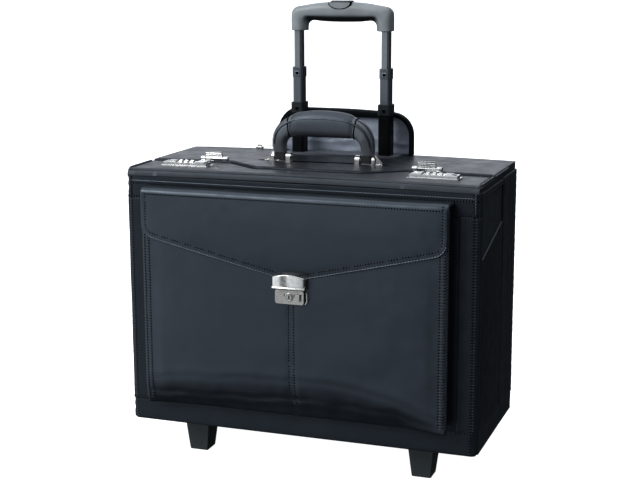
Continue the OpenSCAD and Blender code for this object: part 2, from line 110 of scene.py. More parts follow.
def add_node(tree, kind, output, inputs, **settings):
    """Adds a shader node; an input takes a value, or a link where a socket is given."""
    node = tree.nodes.new("ShaderNode" + kind)
    for name, value in settings.items():
        setattr(node, name, value)
    for key, value in inputs.items():
        if isinstance(value, bpy.types.NodeSocket):
            tree.links.new(value, node.inputs[key])
        else:
            node.inputs[key].default_value = value
    return node.outputs[output]


class Nodes:
    """A material with a Principled shader and short calls that add texture nodes to it."""

    def __init__(self, name, color, roughness, metallic=0.0, specular=0.5):
        self.material = bpy.data.materials.new(name)
        self.material.use_nodes = True
        self.tree = self.material.node_tree
        self.shader = self.tree.nodes["Principled BSDF"]
        self.set("Base Color", (*color, 1))
        self.set("Roughness", roughness)
        self.set("Metallic", metallic)
        self.set("Specular IOR Level", specular)
        self.coords = self.add("TexCoord", "Object", {})

    def add(self, kind, output, inputs, **settings):
        return add_node(self.tree, kind, output, inputs, **settings)

    def set(self, socket, value):
        self.shader.inputs[socket].default_value = value

    def drive(self, socket, output):
        self.tree.links.new(output, self.shader.inputs[socket])

    def noise(self, scale, detail=2.0, stretch=(1, 1, 1)):
        place = self.coords
        if stretch != (1, 1, 1):
            place = self.add("Mapping", "Vector", {"Vector": place, "Scale": stretch})
        return self.add("TexNoise", "Fac", {"Vector": place, "Scale": scale, "Detail": detail})

    def cells(self, scale):
        return self.add("TexVoronoi", "Distance", {"Vector": self.coords, "Scale": scale},
                        feature="SMOOTH_F1")

    def waves(self, scale, direction):
        return self.add("TexWave", "Fac", {"Vector": self.coords, "Scale": scale}, bands_direction=direction)

    def spread(self, value, low, high, start=0.3, end=0.7):
        """The value's stretch from start to end, mapped to low to high."""
        return self.add("MapRange", "Result", {"Value": value, "From Min": start, "From Max": end,
                                               "To Min": low, "To Max": high})

    def mix(self, factor, color_a, color_b):
        """From one color to another; each is a tuple or a socket. 6, 7 and 2 are the node's color sockets."""
        first, second = ((*c, 1) if isinstance(c, tuple) else c for c in (color_a, color_b))
        return self.add("Mix", 2, {0: factor, 6: first, 7: second}, data_type="RGBA")

    def mottled(self, color, scale, factor):
        """The color, going over in soft patches to itself times the factor."""
        return self.mix(self.spread(self.noise(scale, 3), 0, 1), color, tuple(c * factor for c in color))

    def bump(self, height, strength, distance, *below):
        inputs = {"Height": height, "Strength": strength, "Distance": distance}
        if below:
            inputs["Normal"] = below[0]
        normal = self.add("Bump", "Normal", inputs)
        self.drive("Normal", normal)
        return normal

    def wear(self):
        """Rises along convex edges, where the surface is rubbed."""
        return self.spread(self.add("NewGeometry", "Pointiness", {}), 0.0, 1.0, 0.52, 0.62)

    def facing_down(self):
        """Rises to 1 on surfaces that face down, where painted shade goes."""
        normal = self.add("NewGeometry", "Normal", {})
        return self.spread(self.add("SeparateXYZ", "Z", {"Vector": normal}), 1.0, 0.0, -0.72, -0.3)


def leather(name, dark, light, roughness=0.42, grain=0.12, specular=0.4):
    """Black leather whose sheen is a little blue, greyer where edges are rubbed."""
    n = Nodes(name, dark, roughness, specular=specular)
    patches = n.spread(n.noise(28, 3), 0.0, 1.0)
    body = n.mix(patches, dark, light)
    rubbed = tuple(min(1, c * 2.0 + 0.006) for c in light)
    n.drive("Base Color", n.mix(n.wear(), body, rubbed))
    n.drive("Roughness", n.spread(n.noise(60, 3), roughness - 0.05, roughness + 0.07))
    pores = n.bump(n.cells(1100), grain, 0.0002)
    n.bump(n.noise(240, 4), grain * 1.4, 0.0003, pores)
    n.set("Specular Tint", (0.72, 0.85, 1.0, 1))
    n.set("Sheen Weight", 0.02)
    n.set("Sheen Roughness", 0.5)
    n.set("Sheen Tint", (0.7, 0.9, 1.0, 1))
    return n.material


def thread(name, color):
    n = Nodes(name, color, 0.7, specular=0.25)
    n.bump(n.waves(900, "DIAGONAL"), 0.4, 0.0001)
    n.drive("Base Color", n.mix(n.noise(400), color, tuple(c * 1.6 for c in color)))
    return n.material


def polished(name, color, roughness):
    n = Nodes(name, color, roughness, metallic=1.0)
    n.drive("Roughness", n.spread(n.noise(180, 4), roughness * 0.7, roughness * 1.6))
    n.drive("Base Color", n.mottled(color, 90, 0.86))
    n.bump(n.noise(500, 3), 0.06, 0.0001)
    return n.material


def anodised(name, color, roughness):
    n = Nodes(name, color, roughness, metallic=0.85)
    lines = n.noise(1400, 2, stretch=(1, 1, 0.02))
    n.drive("Roughness", n.spread(lines, roughness - 0.07, roughness + 0.09))
    body = n.mix(n.noise(40), color, tuple(c * 0.8 for c in color))
    n.drive("Base Color", n.mix(n.wear(), body, (0.3, 0.32, 0.34)))
    n.bump(lines, 0.12, 0.0001)
    return n.material


def moulded(name, color, roughness, grain=0.2, scale=1500, specular=0.45, shade_below=None):
    n = Nodes(name, color, roughness, specular=specular)
    body = n.mottled(color, 45, 1.35)
    # surfaces facing down go over to the darker colour given: painted shade on undersides
    if shade_below:
        body = n.mix(n.facing_down(), body, shade_below)
    n.drive("Base Color", body)
    n.drive("Roughness", n.spread(n.noise(120, 3), roughness - 0.06, roughness + 0.08))
    n.bump(n.cells(scale), grain, 0.0001)
    return n.material


def woven(name, color, roughness, shine, scale=2600):
    n = Nodes(name, color, roughness, specular=0.5)
    n.set("Sheen Weight", shine)
    n.set("Sheen Roughness", 0.35)
    across = n.bump(n.waves(scale, "X"), 0.15, 0.0001)
    n.bump(n.waves(scale, "Z"), 0.15, 0.0001, across)
    n.drive("Base Color", n.mottled(color, 50, 1.3))
    return n.material


BLACK, BLACK_LIGHT = (0.0050, 0.0072, 0.0100), (0.0080, 0.0110, 0.0145)
LEATHER = leather("case_leather", BLACK, BLACK_LIGHT, 0.46, 0.16, 0.42)
LEATHER_SOFT = leather("pocket_leather", (0.0050, 0.0066, 0.0096), (0.0080, 0.0104, 0.0142), 0.36, 0.09, 0.9)
# the rear lid and deck take a slightly lighter copy of the case leather, for their lit tops: painted light
LEATHER_TOP = leather("lid_leather", (0.008, 0.009, 0.011), (0.012, 0.0138, 0.016), 0.39, 0.12, 0.36)
# the front lid's top is a much lighter copy of the case leather, for the light it catches: painted light
LEATHER_LID = leather("front_lid_leather", (0.026, 0.0285, 0.032), (0.036, 0.039, 0.0435), 0.43, 0.14, 0.42)
# cords, pipings and folds take a lighter copy of the leather, for the light on their ridges: painted
# highlight
LEATHER_TRIM = leather("trim_leather", (0.012, 0.015, 0.018), (0.020, 0.024, 0.028), 0.36, 0.12, 0.9)
# the handle's pad and strap are lighter copies of the case leather, raised to how bright they are lit:
# painted light
LEATHER_HANDLE = leather("handle_leather", (0.036, 0.038, 0.046), (0.050, 0.053, 0.062), 0.42, 0.12, 0.8)
LEATHER_STRAP = leather("strap_leather", (0.100, 0.107, 0.116), (0.122, 0.130, 0.140), 0.40, 0.12, 0.9)
# the side pockets take a darker, duller copy of the leather, for the shade on the case's sides: painted shade
LEATHER_SIDE = leather("side_leather", (0.0035, 0.0050, 0.0066), (0.0055, 0.0075, 0.0095), 0.46, 0.2, 0.2)
# the pocket's gusset and the hood's rim take a near-black copy with almost no shine: painted shade
LEATHER_SHADED = leather("leather_in_painted_shade", (0.0022, 0.0030, 0.0035), (0.0035, 0.0045, 0.0052), 0.42, 0.1, 0.09)
THREAD = thread("grey_black_thread", (0.045, 0.052, 0.062))
LINING = woven("grey_lining", (0.33, 0.37, 0.45), 0.42, 0.2)
INNER = woven("inner_lining", (0.03, 0.031, 0.035), 0.7, 0.05)
TAPE = woven("zip_tape_weave", (0.012, 0.012, 0.014), 0.8, 0.05, 1800)
NICKEL = polished("polished_nickel", (0.88, 0.87, 0.82), 0.12)
CHROME = polished("bright_chrome", (0.96, 0.96, 0.94), 0.2)
NICKEL_SATIN = polished("satin_nickel", (0.62, 0.60, 0.56), 0.30)
STEEL = polished("bright_steel", (0.62, 0.62, 0.63), 0.3)
TUBE = anodised("anodised_tube", (0.26, 0.285, 0.30), 0.27)
TUBE_MIDDLE = anodised("anodised_middle_tube", (0.10, 0.12, 0.14), 0.30)
# near-black with hardly any shine: painted shade of the hood on the lower tubes and the sleeves
TUBE_SHADED = moulded("tube_in_painted_shade", (0.003, 0.0035, 0.004), 0.34, specular=0.08)
# the grip's undersides are painted near-black: painted shade under the bar and legs
GRIP = moulded("grip_plastic", (0.26, 0.285, 0.295), 0.36, 0.1, specular=0.7, shade_below=(0.008, 0.010, 0.011))
COLLAR = moulded("collar_plastic", (0.016, 0.020, 0.022), 0.34, specular=0.2)
BEZEL = moulded("bezel_plastic", (0.09, 0.10, 0.115), 0.4)
FOOT = moulded("foot_plastic", (0.024, 0.033, 0.034), 0.45)
HOUSING = moulded("housing_plastic", (0.012, 0.015, 0.015), 0.48)
RUBBER = moulded("tyre_rubber", (0.008, 0.008, 0.008), 0.75, 0.4, 900)
# near-black without shine: painted shade in needle holes, the bracket slot, the button's well and groove, the
# pad's seams and the keyhole; also the lock's dark ticks and the collars' windows
DARK = moulded("painted_shade_and_dark_marks", (0.0015, 0.0015, 0.002), 0.8, specular=0.0)
# the pieces' slots: each one's first material also dresses the CAD nodes
SLOTS = {"leather": (LEATHER, LEATHER_SOFT, LEATHER_TOP, LEATHER_LID, LEATHER_TRIM, LEATHER_HANDLE,
                     LEATHER_STRAP, LEATHER_SIDE, LEATHER_SHADED, THREAD),
         "board": (INNER,), "lining": (LINING,), "zip_tape": (TAPE,), "steel": (STEEL,),
         "nickel": (NICKEL, CHROME, NICKEL_SATIN), "anodised": (TUBE, TUBE_MIDDLE, TUBE_SHADED),
         "grip_plastic": (GRIP, COLLAR, BEZEL), "housing_plastic": (HOUSING, FOOT, DARK),
         "tyre": (RUBBER,)}
SLOT_OF = {material: slot for slot, group in SLOTS.items() for material in group}


# --- mesh building ---

SHARP = math.radians(38)


def placed(name, data):
    """A new object in the scene."""
    made = bpy.data.objects.new(name, data)
    bpy.context.scene.collection.objects.link(made)
    return made


def bridged(rings, sides, closed=False):
    """Faces between rings of points that follow each other, capped at the ends if it isn't closed."""
    faces = []
    for i in range(rings if closed else rings - 1):
        j = (i + 1) % rings
        for k in range(sides):
            m = (k + 1) % sides
            faces.append((i * sides + k, i * sides + m, j * sides + m, j * sides + k))
    if not closed:
        faces.append(tuple(range(sides))[::-1])
        faces.append(tuple((rings - 1) * sides + k for k in range(sides)))
    return faces


class Shape:
    """Faces gathered from several simple forms into one piece."""

    def __init__(self):
        self.verts, self.faces = [], []

    def add(self, verts, faces):
        start = len(self.verts)
        self.verts += [Vector(v) for v in verts]
        self.faces += [[start + i for i in face] for face in faces]
        return self

    def add_bmesh(self, bm):
        bm.verts.ensure_lookup_table()
        bm.verts.index_update()
        self.add([v.co.copy() for v in bm.verts], [[v.index for v in f.verts] for f in bm.faces])
        bm.free()
        return self

    def prism(self, outline, low, high, place, bevel=0.5, segments=2):
        """An outline extruded from low to high, its edges bevelled; place(a, b, h) puts a point."""
        bm = bmesh.new()
        bottom = [bm.verts.new((a, b, low)) for a, b in outline]
        top = [bm.verts.new((a, b, high)) for a, b in outline]
        n = len(outline)
        bm.faces.new(bottom[::-1])
        bm.faces.new(top)
        for i in range(n):
            bm.faces.new((bottom[i], bottom[(i + 1) % n], top[(i + 1) % n], top[i]))
        if bevel:
            edges = [e for e in bm.edges if e.calc_face_angle(0) > math.radians(25)]
            bmesh.ops.bevel(bm, geom=edges, offset=bevel, segments=segments, profile=0.5,
                            affect="EDGES", clamp_overlap=True)
        for v in bm.verts:
            v.co = place(*v.co)
        return self.add_bmesh(bm)

    def lathe(self, profile, centre, axis, sides=32):
        """A closed profile of (along, radius) points turned about an axis through centre."""
        axis = Vector(axis).normalized()
        u = axis.orthogonal().normalized()
        v = axis.cross(u)
        verts, faces = [], []
        n = len(profile)
        for k in range(sides):
            angle = 2 * math.pi * k / sides
            spoke = u * math.cos(angle) + v * math.sin(angle)
            verts += [centre + (axis * along + spoke * radius) * MM for along, radius in profile]
            for i in range(n):
                j, nxt = (i + 1) % n, ((k + 1) % sides) * n
                faces.append((k * n + i, k * n + j, nxt + j, nxt + i))
        bm = bmesh.new()
        points = [bm.verts.new(p) for p in verts]
        for face in faces:
            bm.faces.new([points[i] for i in face])
        bmesh.ops.remove_doubles(bm, verts=bm.verts, dist=1e-7)
        return self.add_bmesh(bm)

    def tube(self, path, radius, sides=8, closed=False):
        """A round tube along points in metres; radius(share of the way) is in millimetres."""
        count = len(path)
        verts, side = [], None
        for i, point in enumerate(path):
            before = path[i - 1] if closed or i else path[0]
            after = path[(i + 1) % count] if closed or i < count - 1 else path[-1]
            ahead = (after - before).normalized()
            side = (side - ahead * side.dot(ahead)).normalized() if side else ahead.orthogonal().normalized()
            up = ahead.cross(side)
            r = radius(i / (count - 1)) * MM
            for k in range(sides):
                angle = 2 * math.pi * k / sides
                verts.append(point + side * (math.cos(angle) * r) + up * (math.sin(angle) * r))
        return self.add(verts, bridged(count, sides, closed))

    def make(self, name, material, body, *nodes, even=False):
        """The gathered faces as a piece on a body, or on none; even keeps flat faces evenly lit."""
        mesh = bpy.data.meshes.new(name)
        mesh.from_pydata(self.verts, [], self.faces)
        bm = bmesh.new()
        bm.from_mesh(mesh)
        bmesh.ops.recalc_face_normals(bm, faces=bm.faces)
        for face in bm.faces:
            face.smooth = True
        for edge in bm.edges:
            edge.smooth = edge.calc_face_angle(0) < SHARP
        bm.to_mesh(mesh)
        bm.free()
        mesh.materials.append(material)
        piece = placed(name, mesh)
        if even:
            piece.modifiers.new("normals", "WEIGHTED_NORMAL").keep_sharp = True
        if body:
            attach(piece, body)
        if nodes:
            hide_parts(*nodes)
        return piece


def arc(x, y, r, start, end, steps=6):
    angles = [math.radians(start + (end - start) * i / steps) for i in range(steps + 1)]
    return [(x + r * math.cos(a), y + r * math.sin(a)) for a in angles]


def rounded(x0, x1, y0, y1, r, steps=5):
    """A rectangle with round corners."""
    return (arc(x1 - r, y1 - r, r, 0, 90, steps) + arc(x0 + r, y1 - r, r, 90, 180, steps)
            + arc(x0 + r, y0 + r, r, 180, 270, steps) + arc(x1 - r, y0 + r, r, 270, 360, steps))


def rectangle(x0, x1, y0, y1):
    return [(x1, y1), (x0, y1), (x0, y0), (x1, y0)]


def resampled(points, step, closed=True):
    """The same line with points no further than step apart."""
    out = []
    count = len(points)
    for i in range(count if closed else count - 1):
        a, b = Vector(points[i]), Vector(points[(i + 1) % count])
        parts = max(1, math.ceil((b - a).length / step))
        out += [a.lerp(b, k / parts) for k in range(parts)]
    if not closed:
        out.append(Vector(points[-1]))
    return out


def inset(points, distance):
    """A closed anticlockwise outline moved inwards."""
    count = len(points)
    out = []
    for i in range(count):
        a, b, c = (Vector(points[(i + k) % count]) for k in (-1, 0, 1))
        n1 = Vector((a.y - b.y, b.x - a.x)).normalized()
        n2 = Vector((b.y - c.y, c.x - b.x)).normalized()
        n = (n1 + n2).normalized()
        out.append(b + n * (distance / max(0.35, n.dot(n2))))
    return out


def clean(points):
    """An outline without repeated points."""
    out = []
    for p in points:
        if not out or (Vector(p) - Vector(out[-1])).length > 1e-4:
            out.append(p)
    if (Vector(out[0]) - Vector(out[-1])).length < 1e-4:
        out.pop()
    return out


class Patch:
    """A closed leather piece with a flat back and a front that rises from its edges in a roll.

    The outline is drawn flat, in millimetres; place(a, b, h) puts its points in space."""

    def __init__(self, outline, place, thick, roll, holes=(), relief=None):
        self.loops = [clean(outline)] + [clean(hole) for hole in holes]
        self.place, self.thick, self.roll, self.relief = place, thick, roll, relief
        self.edges = []
        for loop in self.loops:
            for i in range(len(loop)):
                a, b = Vector(loop[i]), Vector(loop[(i + 1) % len(loop)])
                self.edges.append((a, b - a, (b - a).length_squared))

    def distance(self, p):
        best = 1e9
        for a, along, size in self.edges:
            t = max(0.0, min(1.0, (p - a).dot(along) / size))
            best = min(best, (p - a - along * t).length_squared)
        return math.sqrt(best)

    def inside(self, p):
        within = False
        for loop in self.loops:
            for i in range(len(loop)):
                (x1, y1), (x2, y2) = loop[i], loop[(i + 1) % len(loop)]
                if (y1 > p.y) != (y2 > p.y) and p.x < (x2 - x1) * (p.y - y1) / (y2 - y1) + x1:
                    within = not within
        return within

    def height(self, p, d=None):
        d = self.distance(p) if d is None else d
        t = 1 - min(1.0, d / self.roll)
        h = self.thick * math.sqrt(max(0.0, 1 - t * t))
        if self.relief:
            h += self.relief(p.x, p.y, d) * min(1.0, d / self.roll)
        return h

    def at(self, a, b, lift=0.0):
        p = Vector((a, b))
        return self.place(a, b, self.height(p) + lift)

    def normal(self, a, b):
        centre = self.place(a, b, 0)
        return (self.place(a, b, 1) - centre).normalized()

    def build(self, name, material, body, *nodes, step=6.0):
        """The patch as a piece: its border, rows of points up the rolled edge and a grid within."""
        points, edges = [], []
        rings = [resampled(loop, step * 0.7) for loop in self.loops]
        for ring in rings:
            start = len(points)
            points += ring
            edges += [(start + i, start + (i + 1) % len(ring)) for i in range(len(ring))]
        border = len(points)
        for ring in rings:
            for distance in (self.roll * share for share in (0.12, 0.35, 0.65, 1.0)):
                points += [p for p in inset(ring, distance)
                           if self.inside(p) and self.distance(p) > distance * 0.93]
        xs, ys = [p[0] for p in self.loops[0]], [p[1] for p in self.loops[0]]
        row, y = 0, min(ys) + step / 2
        while y < max(ys):
            x = min(xs) + step * (0.5 if row % 2 else 1.0)
            while x < max(xs):
                p = Vector((x, y))
                if self.inside(p) and self.distance(p) > self.roll + step * 0.55:
                    points.append(p)
                x += step
            y += step * 0.87
            row += 1
        made = geometry.delaunay_2d_cdt(points, edges, [], 0, 1e-5)
        flat, faces = made[0], []
        for f in made[2]:
            middle = sum((flat[i] for i in f), Vector((0, 0))) / len(f)
            if self.inside(middle):
                faces.append(f)
        on_border = [any(o < border for o in origins) for origins in made[3]]
        front, back, verts = [], [], []
        for p, fixed in zip(flat, on_border):
            front.append(len(verts))
            if not fixed:
                verts.append(self.place(p.x, p.y, self.height(p)))
            back.append(len(verts))
            verts.append(self.place(p.x, p.y, 0))
        faces_all = [[front[i] for i in f] for f in faces] + [[back[i] for i in f][::-1] for f in faces]
        return Shape().add(verts, faces_all).make(name, material, body, *nodes)

    def upright(self, a, low, high, lift=0.0):
        return self.row([(a, low), (a, high)], lift)

    def row(self, points, lift=0.0):
        """Places and normals along a line drawn flat, for stitches or cord."""
        flat = resampled([tuple(p) for p in points], 1.0, closed=False)
        return [(self.at(p.x, p.y, lift), self.normal(p.x, p.y)) for p in flat]


PITCH = 3.7        # stitches' spacing in millimetres


def stitches(name, rows, body, pitch=PITCH, length=1.7, radius=0.6, material=THREAD, turn=0.0, hole=1.15):
    """Thread stitches along rows of (place, normal), between needle holes; turn sets them askew."""
    threads, pricks = Shape(), Shape()
    sides, rings = 6, 5
    tilt = math.radians(turn)
    for row in rows:
        walked, due = 0.0, pitch * 0.5
        for (a, n), (b, _) in zip(row, row[1:]):
            gap = (b - a).length / MM
            while gap > 0 and walked + gap >= due:
                centre = a.lerp(b, (due - walked) / gap)
                ahead = (b - a).normalized()
                across = n.cross(ahead).normalized()
                along = ahead * math.cos(tilt) + across * math.sin(tilt)
                if hole:
                    prick(pricks, centre + ahead * (pitch / 2 * MM), ahead, across, n, hole)
                across = n.cross(along).normalized()
                verts = []
                for i in range(rings):
                    s = i / (rings - 1) * 2 - 1
                    r = radius * math.sqrt(max(0.04, 1 - s ** 4))
                    mid = centre + (along * (s * length / 2) + n * (0.15 - 0.5 * radius * s * s)) * MM
                    for k in range(sides):
                        angle = 2 * math.pi * k / sides
                        verts.append(mid + (across * math.cos(angle) + n * math.sin(angle)) * r * MM)
                threads.add(verts, bridged(rings, sides))
                due += pitch
            walked += gap
    if hole:
        # the holes are near-black lenses: painted shade inside the needle holes
        pricks.make(name + "_holes", DARK, body)
    threads.make(name, material, body)


def prick(shape, centre, ahead, across, n, size):
    """A needle hole drawn as a low near-black lens in the leather's surface: painted shade for the hole."""
    sides = 8
    verts = []
    for lift, share in ((-0.3, 1.0), (0.22, 1.0), (0.3, 0.5)):
        for k in range(sides):
            angle = 2 * math.pi * k / sides
            out = ahead * (0.72 * math.cos(angle)) + across * math.sin(angle)
            verts.append(centre + (out * size * share + n * lift) * MM)
    shape.add(verts, bridged(3, sides))


def ribs(name, rows, body, width, radius=0.8):
    """Short folds across a seam, where the thread draws the leather up."""
    stitches(name, rows, body, PITCH, width, radius, LEATHER_TRIM, 90, hole=0)


def corded(name, row, body, radius, ridge, material=LEATHER_TRIM):
    """A sewn cord along a row, its surface ridged by the stitches that cross it."""
    length = sum((b[0] - a[0]).length for a, b in zip(row, row[1:])) / MM
    turns = length / PITCH

    def r(share):
        ends = min(1.0, share * length / 2, (1 - share) * length / 2)
        return radius * (1 - ridge + ridge * math.cos(2 * math.pi * turns * share)) * max(0.25, ends)

    return Shape().tube([p for p, _ in row], r, 8).make(name, material, body)


def ripple(x, y, z):
    """Smooth noise, from about -1 to 1."""
    return noise.noise(Vector((x, y, z)))


def hump(x, width):
    """1 at x = 0, and soon nothing beyond the width on either side."""
    return math.exp(-(x / width) ** 2)


def undulation(size, fine, seed):
    """Relief of slightly uneven leather: broad waves of that height, and finer ones."""
    def relief(a, b, d):
        broad = ripple(a / 55, b / 55, seed)
        small = ripple(a / 14, b / 14, seed + 9)
        return size * broad + fine * small
    return relief


def from_cad(node, bevel, segments=2):
    """A CAD node's own form with its sharp edges rounded, as a new shape."""
    source = frame["nodes"][node]
    bm = bmesh.new()
    bm.from_mesh(source.data)
    bm.transform(source.matrix_world)
    bmesh.ops.remove_doubles(bm, verts=bm.verts, dist=2e-6)
    bmesh.ops.dissolve_limit(bm, angle_limit=math.radians(0.5), verts=bm.verts, edges=bm.edges)
    edges = [e for e in bm.edges if e.is_manifold and e.calc_face_angle(0) > math.radians(30)]
    bmesh.ops.bevel(bm, geom=edges, offset=bevel * MM, segments=segments, profile=0.5,
                    affect="EDGES", clamp_overlap=True)
    return Shape().add_bmesh(bm)


def restate(node, material, body, bevel, segments=2):
    """Shows a hard CAD node as the same form with rounded edges."""
    return from_cad(node, bevel, segments).make(node + "_form", material, body, node, even=True)


def railed(pairs, section, y):
    """A bar between an outer and an inner rail, each pair ((x, z), (x, z), half depth).

    The section's points are (u, v), u from -1 at the inner rail to 1 at the outer, v front to back."""
    verts = []
    for (x_out, z_out), (x_in, z_in), deep in pairs:
        for u, v in section:
            t = (u + 1) / 2
            verts.append(P(x_in + (x_out - x_in) * t, y + v * deep, z_in + (z_out - z_in) * t))
    return Shape().add(verts, bridged(len(pairs), len(section)))


def rail_row(pairs, u, v, y, lift=0.0):
    """Places and outward normals along a railed bar at (u, v)."""
    row = []
    for (x_out, z_out), (x_in, z_in), deep in pairs:
        t = (u + 1) / 2
        across = Vector((x_out - x_in, 0, z_out - z_in)).normalized()
        normal = (Vector((0, v, 0)) + across * max(0.0, abs(u) - 0.6) * math.copysign(1, u)).normalized()
        place = P(x_in + (x_out - x_in) * t, y + v * deep, z_in + (z_out - z_in) * t)
        row.append((place + normal * lift * MM, normal))
    return row


def both_ways(right):
    """Pairs of the right half, then the same mirrored to the left."""
    left = [((-xo, zo), (-xi, zi), deep) for (xo, zo), (xi, zi), deep in right[::-1]]
    return right + left[1:] if abs(right[-1][0][0]) < 1e-6 else right + left


def softened(piece):
    smooth = piece.modifiers.new("round", "SUBSURF")
    smooth.levels = smooth.render_levels = 2


def hands():
    return (("left", -1), ("right", 1))


# --- the flat patterns' ways into space ---

ARC_LEN = math.pi * CORNER_R / 2
FRONT_RUN = HALF_W - CORNER_R
SIDE_RUN = BACK_Y - 2 * CORNER_R
BACK_RUN = FRONT_RUN + 2 * ARC_LEN + SIDE_RUN      # where the outline reaches the back


def side_run(y):
    """Length along the box's outline from the front's middle to a place on a side."""
    return FRONT_RUN + ARC_LEN + y - CORNER_R


def around(a, b, h):
    """The box's outline seen from above, unrolled: a from the front's middle, b up, h outwards."""
    s, sign = abs(a), (1 if a >= 0 else -1)
    if s <= FRONT_RUN:
        return P(a, -h, b)
    s -= FRONT_RUN
    if s <= ARC_LEN:
        t = s / CORNER_R
        r = CORNER_R + h
        return P(sign * (FRONT_RUN + r * math.sin(t)), CORNER_R - r * math.cos(t), b)
    s -= ARC_LEN
    if s <= SIDE_RUN:
        return P(sign * (HALF_W + h), CORNER_R + s, b)
    s -= SIDE_RUN
    if s <= ARC_LEN:
        t = s / CORNER_R
        r = CORNER_R + h
        return P(sign * (FRONT_RUN + r * math.cos(t)), BACK_Y - CORNER_R + r * math.sin(t), b)
    return P(sign * (FRONT_RUN - (s - ARC_LEN)), BACK_Y + h, b)


def line(points, normal, step=1.2):
    """Places and one normal along straight runs through case points."""
    dense = resampled([tuple(p) for p in points], step, closed=False)
    return [(P(*p), Vector(normal)) for p in dense]


# --- box: boards, bands, strips, side pockets ---

def boards():
    for board in ("bottom_panel", "front_panel", "back_panel", "side_panel_left", "side_panel_right",
                  "rear_deck"):
        restate(board, LEATHER, "case", 0.9)
    restate("rear_partition", INNER, "case", 0.5)
    restate("divider_panel", INNER, "case", 1.2, 3)
    inner_w = cad("side_panel_right")[0].x
    front, back = cad("front_panel")[1].y, cad("rear_partition")[0].y
    floor_z = cad("bottom_panel")[1].z
    across, up = (-inner_w + 2, inner_w - 2), (floor_z + 2, WALL_Z - 3)
    along = (front + 2, back - 2)
    panels = [("front", (*across, *up), lambda a, b, h: P(a, front + h, b)),
              ("back", (*across, *up), lambda a, b, h: P(a, back - h, b)),
              ("floor", (*across, *along), lambda a, b, h: P(a, b, floor_z + h))]
    for hand, sign in hands():
        def on_side(a, b, h, sign=sign):
            return P(sign * (inner_w - h), a, b)
        panels.append((hand, (*along, *up), on_side))
    for name, limits, place in panels:
        lining = Patch(rounded(*limits, 3, 3), place, 0.7, 1.2, relief=undulation(0.25, 0.1, 31))
        lining.build("inside_lining_" + name, INNER, "case", step=14)


def body_leather():
    def band(reach, low, high, seed):
        return Patch(rectangle(-side_run(reach), side_run(reach), low, high), around, 1.9, 1.6,
                     relief=undulation(0.3, 0.14, seed))

    top, low = band(12, BAND_HIGH, WALL_TOP, 1), band(204, 1.2, BAND_LOW, 2)
    top.build("top_band", LEATHER, "case", "reinforcement_bands")
    low.build("bottom_band", LEATHER, "case")
    middle = Patch(rectangle(-STRIP_X - 2, STRIP_X + 2, BAND_LOW - 1, BAND_HIGH + 1), around, 0.9, 1.0)
    middle.build("front_cover", LEATHER, "case", step=12)
    rows = []
    for hand, sign in hands():
        limits = sorted((sign * STRIP_X, sign * side_run(10)))
        strip = Patch(rectangle(*limits, BAND_LOW - 2, BAND_HIGH + 2), around, 2.3, 1.4,
                      relief=pucker(sign * SEWN_X, 0.3, 3 + sign))
        strip.build("corner_strip_" + hand, LEATHER, "case", step=4)
        x = sign * SEWN_X
        rows += [strip.upright(x, BAND_LOW, BAND_HIGH), top.upright(x, BAND_HIGH, WALL_Z - 3),
                 low.upright(x, 3, BAND_LOW)]
        beside = strip.upright(x + sign * 2.6, BAND_LOW, BAND_HIGH, -0.4)
        ribs("strip_folds_" + hand, [beside], "case", 3.2, radius=0.7)
        for patch, z in ((top, BAND_HIGH + 3), (low, BAND_LOW - 3)):
            rows.append(patch.row([(sign * 207, z), (sign * 241, z)]))
        limits = sorted((sign * side_run(124), sign * (BACK_RUN + HALF_W - STRIP_X)))
        rear = Patch(rectangle(*limits, BAND_LOW - 9, WALL_TOP), around, 2.2, 1.4,
                     relief=undulation(0.35, 0.16, 6 + sign))
        rear.build("rear_strip_" + hand, LEATHER, "case")
        for run in (side_run(128), side_run(165), side_run(185), BACK_RUN + 20):
            rows.append(rear.upright(sign * run, 26, WALL_Z - 3))
        rows += side_pocket(sign, hand)
        side = sign * (HALF_W + 0.6)
        for name, (front, back), z, radius, ridge in (("lower", (7, 205), 1.6, 1.7, 0.1),
                                                      ("upper", (5, 207), WALL_Z - 3.4, 1.7, 0.12),
                                                      ("second", (5, 207), WALL_Z - 7.4, 1.3, 0.18)):
            piping = line([(side, front, z), (side, back, z)], (sign, 0, 0))
            corded(f"{name}_piping_{hand}", piping, "case", radius, ridge)
        x, y = sign * (HALF_W - 1.6), BACK_Y - 1.4
        upright = line([(x, y, 9), (x, y, WALL_Z - 4)], (sign, 1, 0))
        corded("corner_piping_" + hand, upright, "case", 2.3, 0.06)
    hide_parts("edge_piping")
    reach, seam_z = HALF_W - 3, WALL_Z - 8
    corded("top_band_seam", top.row([(-reach, seam_z), (reach, seam_z)], lift=-0.5), "case", 1.05, 0.2)
    rows.append(top.row([(-reach, seam_z - 3.4), (reach, seam_z - 3.4)]))
    stitches("body_stitches", rows, "case")
    back = Patch(rounded(-STRIP_X + 3, STRIP_X - 3, 8, WALL_Z - 5, 4), lambda a, b, h: P(a, BACK_Y + h, b),
                 1.2, 1.4, relief=undulation(0.4, 0.12, 9))
    back.build("back_cover", LEATHER, "case", step=9)
    border = rounded(-STRIP_X + 9, STRIP_X - 9, 14, WALL_Z - 11, 4)
    stitches("back_stitches", [back.row(border + border[:1])], "case")


def pucker(line_x, size, seed):
    """Relief of leather drawn up in small folds beside a row of stitches at line_x."""
    def relief(a, b, d):
        near = hump(a - line_x, 7)
        folds = ripple(a / 9, b / 5, seed + 3)
        broad = ripple(a / 30, b / 45, seed)
        return size * broad + 0.55 * near * folds
    return relief


